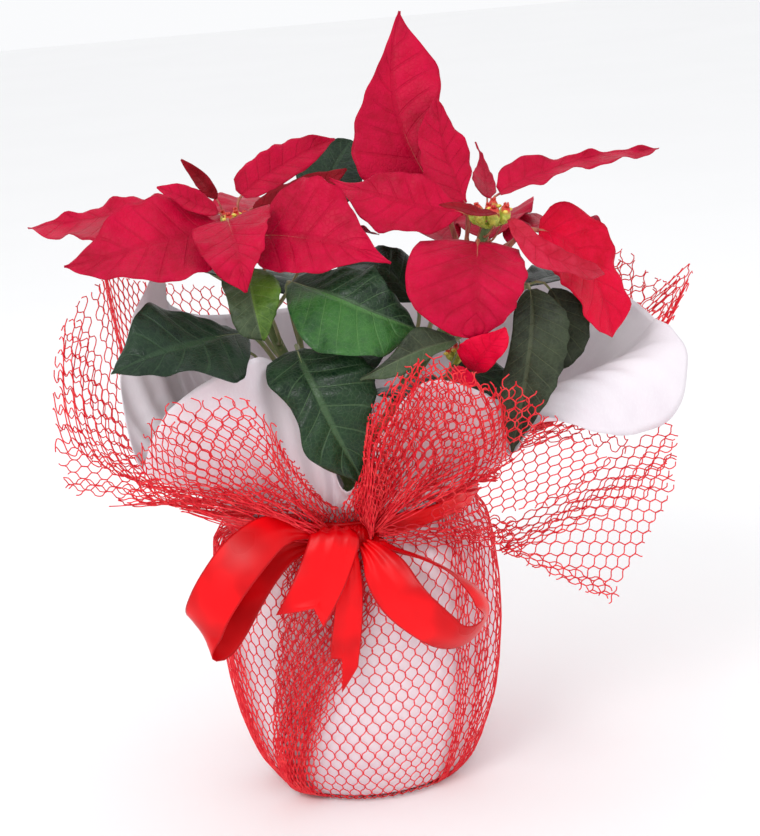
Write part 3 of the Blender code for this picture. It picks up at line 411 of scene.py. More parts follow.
# Blades: body, lighter, vein and deeper colour, roughness, sheen, specular, vein strength and width
BLADES = {
    "bract_red": (
        (0.53, 0, 0.034), (0.62, 0.003, 0.055), (0.34, 0, 0.018), (0.36, 0, 0.02), 0.46, 0.04, 0.12, 0.32),
    # painted light: a lighter copy of the bract red for bracts that catch more light
    "bract_lit_red": (
        (0.7, 0, 0.03), (0.82, 0.005, 0.055), (0.48, 0, 0.02), (0.52, 0, 0.018), 0.46, 0.04, 0.1, 0.3),
    # painted shade: a darker copy of the bract red for inner bracts that lie in shadow
    "bract_shaded_red": (
        (0.25, 0.001, 0.007), (0.34, 0.002, 0.018), (0.15, 0.001, 0.005), (0.16, 0.001, 0.005),
        0.46, 0.03, 0.12, 0.3),
    "bract_pink": (
        (0.56, 0.006, 0.04), (0.66, 0.04, 0.09), (0.42, 0.004, 0.02), (0.44, 0.003, 0.022),
        0.46, 0.08, 0.15, 0.35),
    "leaf_green": (
        (0.009, 0.028, 0.013), (0.02, 0.05, 0.02), (0.05, 0.1, 0.045), (0.003, 0.011, 0.006),
        0.34, 0.02, 0.25, 0.3, 0.07),
    "leaf_veined": (
        (0.011, 0.036, 0.014), (0.024, 0.068, 0.022), (0.1, 0.18, 0.08), (0.004, 0.016, 0.007),
        0.34, 0.02, 0.25, 0.38, 0.06),
    # painted light: a lit copy of the leaf green, used only for the right half of leaf_centre
    "leaf_bright": (
        (0.03, 0.125, 0.022), (0.055, 0.19, 0.03), (0.12, 0.26, 0.08), (0.014, 0.062, 0.016),
        0.34, 0.02, 0.3, 0.34, 0.06),
    "leaf_lime": (
        (0.085, 0.17, 0.018), (0.15, 0.27, 0.03), (0.2, 0.31, 0.07), (0.035, 0.085, 0.012),
        0.4, 0.02, 0.25, 0.3, 0.07),
    "leaf_grey": (
        (0.055, 0.085, 0.038), (0.1, 0.14, 0.07), (0.15, 0.2, 0.1), (0.028, 0.045, 0.02),
        0.42, 0.02, 0.25, 0.3, 0.07),
    "leaf_olive": (
        (0.03, 0.042, 0.02), (0.06, 0.08, 0.042), (0.11, 0.13, 0.07), (0.014, 0.019, 0.01),
        0.44, 0.03, 0.25, 0.42, 0.06),
    "bract_under": (
        (0.46, 0.012, 0.05), (0.56, 0.04, 0.085), (0.58, 0.06, 0.11), (0.34, 0.006, 0.03),
        0.55, 0.06, 0.15, 0.6),
    "leaf_under": (
        (0.085, 0.14, 0.06), (0.14, 0.2, 0.1), (0.22, 0.3, 0.16), (0.055, 0.095, 0.042), 0.6, 0.05, 0.2, 0.7),
}
# Plain surfaces of two shades: roughness, scale and detail of the patches, their stretch up, shades, relief
TWO_SHADES = {
    "petiole_red": (0.4, 420.0, 3.0, 0.35, (0.32, 0.03, 0.03), (0.46, 0.16, 0.08), 0.0003),
    "petiole_green": (0.42, 420.0, 3.0, 0.35, (0.2, 0.28, 0.1), (0.33, 0.3, 0.15), 0.0003),
    "cup_red": (0.4, 900.0, 2.0, 1.0, (0.45, 0.01, 0.01), (0.72, 0.06, 0.03), 0.0002),
    "cup_yellow": (0.25, 900.0, 2.0, 1.0, (0.7, 0.55, 0.05), (0.85, 0.72, 0.16), 0.0002),
}
# Satin, whose front is brighter and smoother than its back: roughness, two shades, selvedge. The back is
# darker partly because the back of satin is duller and partly as painted shade inside the loops; the two
# shades are painted shine and shade across the satin
SATIN = {
    "ribbon_satin": (0.27, (0.56, 0, 0.003), (0.9, 0, 0.004), (0.42, 0.001, 0.004)),
    "ribbon_back": (0.36, (0.46, 0, 0.002), (0.7, 0, 0.003), (0.34, 0.001, 0.003)),
}


def blade_material(name, body, light, vein, deep, roughness, sheen, specular, strength, width=0.09):
    """Leaf surface: lighter and deeper patches, pairs of side veins, midrib and a fine net of veins."""
    g = Graph(name, roughness, sheen_weight=sheen, sheen_roughness=0.35, specular_ior_level=specular,
              sheen_tint=PINK if name.startswith("bract") else SOFT)
    veins = g.uv("veins")
    mottled = g.patches(g.where, 190.0, 3.0, 0.3, 0.75, 0.6)
    colour = g.mix(g.patches(g.where, 38.0, 3.0, 0.35, 0.68), deep, body)
    colour = g.mix(g.times(mottled, 0.45), colour, light)
    crown = g.math("ABSOLUTE", g.math("SUBTRACT", g.math("FRACT", g.math("ADD", veins[0], 0.5)), 0.5))
    line = g.below(crown, width * 0.35, width)
    line = g.times(line, g.times(g.below(veins[1], 0.55, 1.0), 0.75, 0.25))
    middle = g.below(g.uv("blade")[1], 0.04, 0.11)
    fine = g.below(g.cells(420.0), 0.02, 0.14)
    drawn = g.math("MAXIMUM", g.times(line, strength), g.times(middle, strength * 1.1))
    colour = g.mix(g.math("MINIMUM", drawn, 1.0), colour, vein)
    colour = g.mix(g.times(fine, 0.16 * strength + 0.05), colour, vein)
    height = g.times(fine, -0.22, g.times(line, -0.7, g.times(middle, -0.6)))
    height = g.times(mottled, 0.3, height)
    return g.finish(colour, g.bump(height, 0.55, 0.0007), g.times(mottled, 0.12, roughness - 0.05))


def two_shade_material(name, roughness, scale, detail, stretch, dark, bright, relief):
    g = Graph(name, roughness)
    tone = g.patches(g.stretched(stretch), scale, detail)
    return g.finish(g.mix(tone, dark, bright), g.bump(tone, 0.3, relief))


def satin_material(name, roughness, dark, bright, selvedge):
    """Woven satin: fine threads both ways, patches of painted shine and shade in its colour with roughness to
    match, and a darker selvedge.
    """
    g = Graph(name + "_woven", 0.32, anisotropic=0.5, specular_ior_level=0.2)
    strip = g.uv("blade")
    warp = g.math("SINE", g.times(strip[1], 2 * math.pi * 70))
    weft = g.math("SINE", g.times(strip[0], 2 * math.pi * 2.2))
    edge = g.ramp(g.math("ABSOLUTE", g.math("SUBTRACT", strip[1], 0.5)), 0.45, 0.475)
    # painted shine and shade: patches that move the colour between the dark and the bright red
    shine_patches = g.patches(g.where, 30.0, 2.0, 0.36, 0.64)
    colour = g.mix(g.times(edge, 0.55), g.mix(shine_patches, dark, bright), selvedge)
    weave = g.bump(g.times(warp, 0.5, g.times(weft, 0.35)), 0.12, 0.00012)
    return g.finish(colour, weave, g.times(shine_patches, 0.08, roughness))


def make_materials():
    made = {}
    for table, make in ((BLADES, blade_material), (TWO_SHADES, two_shade_material), (SATIN, satin_material)):
        for name, values in table.items():
            made[name] = make(name, *values)

    g = Graph("stem_bark", 0.55)
    streak = g.patches(g.stretched(0.2), 260.0, 4.0)
    colour = g.mix(streak, (0.09, 0.14, 0.04), (0.17, 0.23, 0.08))
    colour = g.mix(g.ramp(g.cells(300.0, "F1"), 0.1, 0.3), (0.24, 0.24, 0.12), colour)
    made["stem_bark"] = g.finish(colour, g.bump(streak, 0.5, 0.0005))

    g = Graph("cup_green", 0.38, subsurface_weight=0.1, subsurface_radius=(0.002, 0.002, 0.0008))
    mottle = g.patches(g.where, 620.0, 3.0)
    colour = g.mix(mottle, (0.32, 0.4, 0.04), (0.6, 0.62, 0.1))
    colour = g.mix(g.ramp(g.uv("blade")[0], 0.6, 0.92), colour, (0.62, 0.03, 0.02))
    made["cup_green"] = g.finish(colour, g.bump(mottle, 0.35, 0.0003))

    g = Graph("wrap_paper_soft", 0.72, sheen_weight=0.1, specular_ior_level=0.3)
    fibre = g.noise(g.stretched(0.3), 900.0, 4.0, 0.7)
    colour = g.mix(g.patches(g.where, 16.0, 3.0), (0.8, 0.72, 0.78), (0.87, 0.82, 0.86))
    colour = g.mix(g.times(g.ramp(fibre, 0.45, 0.7), 0.25), colour, (0.92, 0.89, 0.92))
    height = g.times(fibre, 0.15, g.times(g.ramp(g.cells(26.0), 0.0, 0.12), 0.5))
    made["wrap_paper"] = g.finish(colour, g.bump(height, 0.25, 0.001), g.times(fibre, 0.2, 0.6))

    g = Graph("net_strands", 0.45, specular_ior_level=0.2)
    fibre = g.noise(g.where, 2600.0)
    colour = g.mix(g.patches(g.where, 260.0, 3.0, 0.35, 0.68), (0.82, 0.012, 0.03), (1.0, 0.065, 0.075))
    made["wrap_net"] = g.finish(colour, g.bump(fibre, 0.5, 0.0002), g.times(fibre, 0.2, 0.32))

    g = Graph("pot_plastic_ribbed", 0.45)
    scuff = g.patches(g.stretched(4.0), 40.0, 4.0, 0.5, 0.72)
    grain = g.bump(g.noise(g.where, 700.0, 3.0), 0.25, 0.0004)
    colour = g.mix(scuff, (0.2, 0.075, 0.04), (0.27, 0.12, 0.075))
    made["pot_plastic"] = g.finish(colour, grain, g.times(scuff, 0.25, 0.4))

    g = Graph("soil_crumbs", 0.95, specular_ior_level=0.2)
    crumbs = g.cells(260.0, "F1")
    fine = g.noise(g.where, 900.0, 4.0, 0.7)
    colour = g.mix(g.ramp(crumbs, 0.1, 0.6), (0.055, 0.035, 0.022), (0.018, 0.011, 0.008))
    colour = g.mix(g.ramp(fine, 0.6, 0.8), colour, (0.12, 0.085, 0.055))
    made["soil"] = g.finish(colour, g.bump(g.math("ADD", crumbs, fine), 0.9, 0.002))

    g = Graph("perlite", 0.9)
    colour = g.mix(g.noise(g.where, 900.0), (0.7, 0.68, 0.62), (0.85, 0.84, 0.8))
    made["perlite"] = g.finish(colour, g.bump(g.noise(g.where, 1500.0), 0.6, 0.0004))

    g = Graph("studio_floor", 0.85, specular_ior_level=0.1)
    made["floor"] = g.finish(g.mix(g.noise(g.where, 3.0), (0.93, 0.93, 0.93), (0.96, 0.96, 0.96)))
    return made


MATERIALS = make_materials()


# Curves and meshes

def catmull(p0, p1, p2, p3, t):
    """Point between p1 and p2 of a smooth curve through four points."""
    return 0.5 * (2 * p1 + (p2 - p0) * t + (2 * p0 - 5 * p1 + 4 * p2 - p3) * t ** 2
                  + (3 * p1 - p0 - 3 * p2 + p3) * t ** 3)


def smooth_through(points, places):
    """Points of a smooth curve through the given ones; places run from 0 to 1."""
    points = np.asarray(points, float)
    spans = len(points) - 1
    at = np.clip(places, 0, 1) * spans
    index = np.minimum(at.astype(int), spans - 1)
    p1 = points[index]
    p2 = points[index + 1]
    p0 = np.where((index > 0)[..., None], points[np.maximum(index - 1, 0)], 2 * p1 - p2)
    p3 = np.where((index + 2 <= spans)[..., None], points[np.minimum(index + 2, spans)], 2 * p2 - p1)
    return catmull(p0, p1, p2, p3, (at - index)[..., None])


def bow(start, middle, end, place):
    """Points of the simplest curve through three points."""
    t = np.asarray(place)[..., None]
    return start * ((1 - t) * (1 - 2 * t)) + middle * (4 * t * (1 - t)) + end * (t * (2 * t - 1))


def travelled(points):
    """How far along a line of points, or along each of several lines, every point is."""
    steps = np.linalg.norm(np.diff(points, axis=-2), axis=-1)
    return np.insert(np.cumsum(steps, axis=-1), 0, 0, axis=-1)


def unit(vectors):
    return vectors / np.maximum(np.linalg.norm(vectors, axis=-1, keepdims=True), 1e-9)


def smoothstep(value, low, high):
    t = np.clip((value - low) / (high - low), 0, 1)
    return t * t * (3 - 2 * t)


def circle(sides):
    return 2 * np.pi * np.arange(sides) / sides


def round_points(radius, angle, height):
    return np.stack(np.broadcast_arrays(radius * np.cos(angle), radius * np.sin(angle), height), -1)


def uv_pairs(a, b):
    return np.stack(np.broadcast_arrays(a, b), -1).reshape(-1, 2)


def make_piece(name, node, slot, finishes, points, faces, slots=None, uvs=None):
    """Smooth mesh that stands for a CAD node; uvs is a dict of layer name to one pair per point."""
    mesh = bpy.data.meshes.new(name)
    mesh.from_pydata(points.reshape(-1, 3) * MM, [], faces)
    for finish in finishes:
        mesh.materials.append(MATERIALS[finish])
    if slots is not None:
        mesh.polygons.foreach_set("material_index", np.asarray(slots, dtype=np.int32))
    corners = np.empty(len(mesh.loops), dtype=np.int32)
    mesh.loops.foreach_get("vertex_index", corners)
    for layer, pairs in (uvs or {}).items():
        made = mesh.uv_layers.new(name=layer)
        made.data.foreach_set("uv", np.asarray(pairs, dtype=np.float32)[corners].ravel())
    mesh.shade_smooth()
    mesh.update()
    piece = bpy.data.objects.new(name, mesh)
    bpy.context.scene.collection.objects.link(piece)
    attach(piece, "root")
    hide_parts(node)
    return piece


def grid_faces(rows, columns, start=0, closed=False, flip=False):
    """Quads of a grid of rows by columns; closed joins the last column to the first."""
    faces = []
    for row in range(rows - 1):
        for column in range(columns if closed else columns - 1):
            a = start + row * columns + column
            b = start + row * columns + (column + 1) % columns
            quad = (a, b, b + columns, a + columns)
            faces.append(quad[::-1] if flip else quad)
    return faces


def ring_faces(rings, sides, start=0):
    """Faces of a closed form made of rings of points, with an end face at the first and at the last."""
    last = start + (rings - 1) * sides
    ends = [tuple(range(start + sides - 1, start - 1, -1)), tuple(range(last, last + sides))]
    return grid_faces(rings, sides, start, closed=True) + ends


def grid_normals(grid, closed=False):
    """Normal at each point of a grid; closed joins the last column to the first."""
    over = np.roll(grid, -1, axis=1) - np.roll(grid, 1, axis=1) if closed else np.gradient(grid, axis=1)
    return unit(np.cross(over, np.gradient(grid, axis=0)))


def thin_sheet(grid, thickness, facing=None, capped=False):
    """Points, faces and count of rim faces of a closed thin sheet over a grid; front and back come first.

    A sheet with no facing goes all round, with its front outward, and capped shuts its first ring.
    """
    rows, columns = grid.shape[:2]
    closed = facing is None
    normals = grid_normals(grid, closed)
    turned = not closed and np.sum(normals * facing[:, None]) < 0
    half = (-normals if turned else normals) * thickness / 2
    points = np.concatenate([(grid + half).reshape(-1, 3), (grid - half).reshape(-1, 3)])
    count = rows * columns
    faces = grid_faces(rows, columns, 0, closed) + grid_faces(rows, columns, count, closed, flip=True)
    index = np.arange(count).reshape(rows, columns)
    if closed:
        lines = [index[-1]] if capped else [index[0][::-1], index[-1]]
    else:
        lines = [np.concatenate([index[:, 0], index[-1, 1:], index[-2::-1, -1], index[0, -2:0:-1]])]
    rim = []
    for line in lines:
        rim += [(a, b, b + count, a + count) for a, b in zip(line.tolist(), np.roll(line, -1).tolist())]
    if capped:
        rim += [tuple(range(columns - 1, -1, -1)), tuple(range(count, count + columns))]
    faces += rim
    return points, [face[::-1] for face in faces] if turned else faces, len(rim)


def tube(centres, radii, sides):
    """Points and faces of a closed round tube along a line of points."""
    along = unit(np.gradient(centres, axis=0))
    side = np.zeros_like(centres)
    here = np.array([1.0, 0.0, 0.0]) if abs(along[0][0]) < 0.9 else np.array([0.0, 1.0, 0.0])
    for k in range(len(centres)):
        here = unit(here - along[k] * np.dot(here, along[k]))
        side[k] = here
    other = np.cross(along, side)
    angles = circle(sides)[None, :, None]
    ring = side[:, None] * np.cos(angles) + other[:, None] * np.sin(angles)
    return (centres[:, None] + ring * radii[:, None, None]).reshape(-1, 3), ring_faces(len(centres), sides)


def join_parts(parts, layers=()):
    """One mesh from several (points, faces, slot or slots, uv pairs by layer); missing pairs are zero."""
    faces, slots = [], []
    offset = 0
    for points, part_faces, slot, _ in parts:
        faces += [tuple(k + offset for k in face) for face in part_faces]
        slots += [slot] * len(part_faces) if isinstance(slot, int) else slot
        offset += len(points)
    uvs = {layer: np.concatenate([part[3].get(layer, np.zeros((len(part[0]), 2))) for part in parts])
           for layer in layers}
    return np.concatenate([part[0] for part in parts]), faces, slots, uvs


# Leaves

def outline_width(name, half_width, widest, place):
    """Half widths on the left and on the right of the midrib."""
    if name not in OUTLINES:
        end = BLADE_SHOULDER * (1 - widest) / widest
        peak = widest ** BLADE_SHOULDER * (1 - widest) ** end
        return [half_width * (place ** BLADE_SHOULDER * (1 - place) ** end / peak)] * 2
    widths = []
    for side in OUTLINES[name]:
        extra = [FINER_PLACE] if len(side) > len(OUTLINE_PLACES) else []
        places = [0, *sorted(OUTLINE_PLACES + extra), 1]
        table = [1.5, *side, 0.4]
        softened = sum(np.interp(place + step, places, table) for step in (-0.03, 0, 0.03)) / 3
        widths.append(softened * smoothstep(1 - place, -0.01, 0.04))
    return widths


def turned_about(vectors, axes, angles):
    """Each vector turned about its own axis."""
    cosine = np.cos(angles)[..., None]
    sine = np.sin(angles)[..., None]
    dot = np.sum(vectors * axes, axis=-1, keepdims=True)
    return vectors * cosine + np.cross(axes, vectors) * sine + axes * dot * (1 - cosine)


def petiole_line(shoot, at, base, direction):
    """Twelve points from the shoot to the base of a blade."""
    axis_points, start_radius, end_radius = SHOOTS[shoot]
    below, root, above = smooth_through(axis_points, np.array([max(at - 0.01, 0), at, min(at + 0.01, 1)]))
    axis = unit(above - below)
    outward = base - root
    outward = unit(outward - axis * np.dot(outward, axis))
    start = root + outward * (start_radius + (end_radius - start_radius) * at - 0.6)
    handle = np.linalg.norm(base - start) * 0.35
    s = np.linspace(0, 1, 12)[:, None]
    return (start * (1 - s) ** 3 + 3 * (start + outward * handle) * (1 - s) ** 2 * s
            + 3 * (base - direction * handle) * (1 - s) * s ** 2 + base * s ** 3)


def build_leaf(name, number):
    shoot, at, base, middle, tip, half_width, face, *rest = LEAVES[name]
    fold, widest = rest or PLAIN_BLADE
    kind = name.split("_")[0]
    veins, cup, ruffle, waves, quilt, twist = FORMS.get(name, FORMS[kind])
    luck = np.random.default_rng(LEAF_SEED + number)
    base, middle, tip = (np.array(point, float) for point in (base, middle, tip))
    length = travelled(bow(base, middle, tip, np.linspace(0, 1, 60)))[-1]
    rows = int(np.clip(length / LEAF_STEP, 14, 60))
    columns = 2 * int(np.clip(half_width / LEAF_STEP, 4, 15)) + 1
    u = np.linspace(0, 1, rows)
    v = np.linspace(-1, 1, columns)[None, :]
    centre = bow(base, middle, tip, u)
    along = unit(bow(base, middle, tip, u + 0.01) - bow(base, middle, tip, u - 0.01))
    side = unit(np.cross(along, unit(np.array(face, float))))
    side = turned_about(side, along, np.radians(twist * luck.choice([-1, 1])) * u)
    normal = np.cross(side, along)
    left, right = np.maximum(outline_width(name, half_width, widest, np.clip(u, 0.004, 0.996)), 0.5)
    left = left * (1 + 0.03 * np.sin(2 * np.pi * (veins * u + luck.random())) * smoothstep(u, 0.05, 0.3))
    phase = luck.random(2) * 2 * np.pi

    # Height of the blade over its flat: fold, cupped and ruffled edges, quilting between the veins
    u_column = u[:, None]
    width = np.where(v < 0, left[:, None], right[:, None])
    reach = np.abs(v)
    x = v * width
    crease = 1.4
    height = math.tan(math.radians(fold)) * (np.sqrt(x * x + crease * crease) - crease)
    height += cup * width * reach ** 2.2
    bell = smoothstep(u_column, 0.03, 0.3) * (1 - 0.35 * smoothstep(u_column, 0.8, 1.0))
    start = np.where(v < 0, phase[0], phase[1])
    turns = 2 * np.pi * waves * u_column
    wave = np.sin(turns + start) + 0.45 * np.sin(2.3 * turns + 2 * start)
    height += ruffle * min(half_width / 18, 1.2) * bell * reach ** 2.5 * wave
    vein_phase = veins * (u_column * 1.05 - 0.62 * half_width / length * reach ** 0.85) + 0.35
    between = 0.5 - 0.5 * np.cos(2 * np.pi * vein_phase)
    off_rib = smoothstep(np.abs(x), 0.0, 4.0) * (1 - 0.6 * smoothstep(reach, 0.75, 1.0))
    height += quilt * min(half_width / 20, 1.1) * between ** 0.7 * off_rib * bell
    height += 0.7 * np.sin(0.11 * x + 9 * u_column + phase[0]) * bell
    grid = centre[:, None] + side[:, None] * x[..., None] + normal[:, None] * height[..., None]

    edge_thin = 1 - 0.5 * smoothstep(reach, 0.85, 1.0)
    points, faces, rim_count = thin_sheet(grid, LEAF_THICKNESS * edge_thin[..., None], normal)
    # Slot 3 is the right half's finish from RIGHT_HALVES, painted lighter or darker than the left half for
    # how that half catches the light
    upper = ([0] * (columns // 2) + [3] * (columns // 2)) * (rows - 1)
    slots = upper + [1] * len(upper) + [0] * rim_count
    layers = {"blade": np.tile(uv_pairs(u_column, reach), (2, 1)),
              "veins": np.tile(uv_pairs(vein_phase, reach), (2, 1))}

    # Petiole that goes on as the midrib under the blade
    rib_rows = u[1:int(rows * 0.88)]
    size = min(max(half_width / 20, 0.45), 1.2)
    rib_radius = size * np.interp(rib_rows, [0, 0.15, 0.9], [1.05, 0.75, 0.25])
    rib = grid[1:int(rows * 0.88), columns // 2] - normal[1:int(rows * 0.88)] * rib_radius[:, None] * 0.72
    line = np.concatenate([petiole_line(shoot, at, base, along[0])[:-1], rib])
    radii = np.concatenate([np.linspace(1.35, 1.05, 11) * size, rib_radius])
    radii[0] *= 1.5
    joined = join_parts([(points, faces, slots, layers), (*tube(line, radii, 7), 2, {})], layers)
    finish = FINISHES.get(name, FINISHES[kind])
    petiole, slot = ("petiole_red", "bract_red") if kind == "bract" else ("petiole_green", "leaf_green")
    finishes = [finish, kind + "_under", petiole, RIGHT_HALVES.get(name, finish)]
    make_piece(name + "_blade", name, slot, finishes, *joined)


for number, name in enumerate(LEAVES):
    build_leaf(name, number)


# Paper and net round the pot

class Collar:
    """Flared sheet between the neck and a rim of points, smooth all round."""

    def __init__(self, rows, neck_radius):
        self.table = np.array(rows, float)
        self.count = len(rows)
        self.neck_radius = neck_radius

    def columns(self, s):
        """Angle, rim point and bulges at s, which runs from 0 to the number of rows."""
        i = np.floor(s).astype(int)
        rows = []
        for step in (-1, 0, 1, 2):
            row = self.table[(i + step) % self.count]
            row[..., 0] += 360.0 * np.floor((i + step) / self.count)
            rows.append(row)
        return catmull(*rows, (s - i)[..., None])

    def points(self, s, t):
        """Points at columns s and places t from the neck, 0, to the rim, 1; both of one shape."""
        row = self.columns(s)
        radial = round_points(1.0, np.radians(row[..., 0]), 0.0)
        neck = radial * self.neck_radius + [0, 0, NECK_Z]
        rim = row[..., 1:4]
        middle = (neck + rim) / 2 + radial * row[..., 4:5]
        middle[..., 2] += row[..., 5]
        return bow(neck, middle, rim, t)

    def ring_length(self, rim_share=0.7):
        """Column values and how far round the ring each one is, rim_share of the way up."""
        s = np.linspace(0, self.count, 40 * self.count + 1)
        return s, travelled(self.points(s, np.full_like(s, rim_share)))

    def column_at(self, angle):
        """Column value of an angle of the table."""
        return np.interp(angle, np.append(self.table[:, 0], 360.0), np.arange(self.count + 1))


def ripple_noise(a, b, seed):
    """Gentle wave field of about -1 to 1 over two coordinates in millimetres."""
    luck = np.random.default_rng(seed)
    count = 6
    total = np.zeros(np.broadcast(a, b).shape)
    for _ in range(count):
        fa, fb = luck.normal(0, 0.045, 2)
        total += np.sin(fa * a + fb * b + luck.random() * 6.28)
    return total / count ** 0.5


def bag_bulge(angle, height):
    """How far the wrap stands out round the pot: a folded corner low on the left and slack on the right."""
    turn = np.degrees(angle) % 360
    corner = np.exp(-((turn - 229) / 13) ** 2) * (1 - smoothstep(height, 8, 80)) * smoothstep(height, 0, 6)
    slack = np.exp(-((turn - 335) / 22) ** 2) * smoothstep(height, 12, 50) * (1 - smoothstep(height, 80, 140))
    return 4.5 * corner + 3.0 * slack


def build_paper():
    """Sheet of paper: under the pot, up its pleated side and out to the rim of its collar."""
    collar = Collar(PAPER_RIM, PAPER_NECK_RADIUS)
    places, gone = collar.ring_length(0.6)
    across = np.arange(PAPER_COLUMNS) / PAPER_COLUMNS * gone[-1]
    s = np.interp(across, gone, places)
    angles = np.radians(collar.columns(s)[..., 0])
    table = np.array(PAPER_BODY, float)
    rows = [round_points(radius, angles, table[0, 1]) for radius in (1.0, 20.0, 45.0)]
    gone = travelled(table)
    for place in np.linspace(0, 1, SIDE_ROWS + 1)[:-1]:
        radius, height = (np.interp(place * gone[-1], gone, table[:, k]) for k in (0, 1))
        pleat = np.abs(np.sin(angles * SIDE_PLEATS / 2 + 0.6 * np.sin(place * 3))) ** 3
        inward = (1.3 * pleat + 0.5 * np.sin(angles * 5 + place * 4)) * smoothstep(place, 0.05, 0.9)
        radius = radius - np.maximum(inward, -0.3) + bag_bulge(angles, height)
        rows.append(round_points(radius, angles, height))
    steps = np.linspace(0, 1, FLARE_ROWS)
    flare = np.array([collar.points(s, np.full(PAPER_COLUMNS, t)) for t in steps])
    grid = np.concatenate([rows, flare])
    normals = grid_normals(grid, closed=True)[-FLARE_ROWS:]
    t = steps[:, None]
    pleat = np.sin(2 * np.pi * across / COLLAR_PLEAT + 1.5 * np.sin(across / 37))
    offset = 1.6 * pleat * (1 - 0.75 * t) + 1.5 * ripple_noise(across, t * 120, PAPER_SEED)
    grid[-FLARE_ROWS:] += normals * (offset * smoothstep(t, 0.0, 0.12))[..., None]
    points, faces, _ = thin_sheet(grid, PAPER_SHEET, capped=True)
    return make_piece("paper_sheet", "paper_wrap", "wrap_paper", ["wrap_paper"], points, faces)


def thread_wave(phase, threads):
    """Side to side swing of strands in gaps between two; each swings against its neighbour."""
    turn = np.where(np.arange(threads) % 2 == 0, 1, -1)[:, None]
    swing = np.tanh(SWING_FLATNESS * np.sin(2 * np.pi * phase)) / math.tanh(SWING_FLATNESS)
    return SWING * turn * swing


def collar_net(span, pitch, low, high, seed, lift, converge):
    """Strands of the flared net between two angles of its collar and between two places up it.

    converge is an angle at the neck that the feet of the strands draw towards, as at the knot.
    """
    collar = Collar(NET_RIM, NET_NECK_RADIUS)
    luck = np.random.default_rng(seed)
    ragged = 2.5
    places, ring = collar.ring_length()
    first, last = np.interp(collar.column_at(np.array(span, float)), places, ring)
    threads = int((last - first) / pitch)
    across = first + (np.arange(threads) + 0.5) * (last - first) / threads
    s_rim = np.interp(across, ring, places)
    spacing = np.gradient(s_rim)[:, None]
    t_fine = np.linspace(low, high, 60)
    gone = travelled(collar.points(*np.meshgrid(s_rim, t_fine, indexing="ij")))
    length = gone[:, -1:]
    count = int(np.ceil(length.max() / CELL_LENGTH * COLLAR_STEPS)) + 1
    stop = 1 + (luck.random((threads, 1)) - 0.5) * 2 * ragged / length
    place = np.linspace(0, 1, count) * np.minimum(stop, 1.02)
    t = np.array([np.interp(place[k] * length[k], gone[k], t_fine) for k in range(threads)])
    across = across[:, None]
    phase = place * length / CELL_LENGTH + 0.25 * ripple_noise(across, place * 100, seed + 1)
    drift = 0.5 * ripple_noise(across * 1.6, place * 160, seed + 2)
    s = s_rim[:, None] + spacing * (thread_wave(phase, threads) + drift)
    ahead = collar.points(s + 0.02, t) - collar.points(s - 0.02, t)
    up = collar.points(s, t + 0.01) - collar.points(s, t - 0.01)
    outward = unit(np.cross(ahead, up))
    fold = np.sin(2 * np.pi * across / NET_FOLD + 1.3 * np.sin(across / 41))
    waves = 4.2 * fold * (1 - t) ** 1.3 + 1.6 * ripple_noise(across, t * 140, NET_WAVE_SEED) * t
    points = collar.points(s, t) + outward * (lift + waves * smoothstep(t, 0.0, 0.1))[..., None]
    if converge is not None:
        draw = (1 - smoothstep(t, 0.0, 0.55)) ** 1.5
        turn = np.degrees(np.arctan2(points[..., 1], points[..., 0])) % 360
        turn = np.radians(turn + (converge - turn) * draw)
        radial = round_points(1.0, turn, 0.0)
        radius = np.hypot(points[..., 0], points[..., 1])
        points = round_points(radius, turn, points[..., 2] - 7 * draw) + radial * (4.6 * draw)[..., None]
        outward = unit(outward * (1 - draw)[..., None] + radial * draw[..., None])
    return points, outward


def net_panel(corners, pitch, seed, lift, bulge):
    """Strands of a folded flap of net: the first runs from corner a to b, the last from c to d."""
    a, b, c, d = (np.array(corner, float) for corner in corners)
    luck = np.random.default_rng(seed)
    ragged = 2.0
    along = unit(b - a)
    start_gap = (c - a) - along * np.dot(c - a, along)
    end_gap = (d - b) - along * np.dot(d - b, along)
    threads = max(2, round(max(np.linalg.norm(start_gap), np.linalg.norm(end_gap)) / pitch))
    share = ((np.arange(threads) + 0.5) / threads)[:, None]
    count = int(np.linalg.norm(b - a) / CELL_LENGTH * PANEL_STEPS)
    t = np.linspace(0, 1, count)[None, :, None]
    end = b + share * (d - b) + along * (bulge * np.sin(np.pi * share) + luck.normal(0, ragged, (threads, 1)))
    points = (a + share * (c - a))[:, None] * (1 - t) + end[:, None] * t
    gap = (start_gap * (1 - t) + end_gap * t) / threads
    reach = (points - a) @ along
    rank = np.arange(threads)[:, None] * 3.5
    phase = reach / CELL_LENGTH + 0.16 * ripple_noise(rank, reach, seed + 1)
    drift = 0.3 * ripple_noise(rank * 1.4, reach * 1.3, seed + 2)
    points = points + gap * (thread_wave(phase, threads) + drift)[..., None]
    outward = unit(np.cross(along, start_gap + end_gap))
    if outward[1] > 0:
        outward = -outward
    wave = 2.2 * np.sin(np.pi * t[..., 0]) * np.sin(share * 4 + reach / 26)
    wave = wave + 0.8 * ripple_noise(rank, reach, seed + 3)
    points = points + outward * (lift + wave)[..., None]
    return points, np.broadcast_to(outward, points.shape)


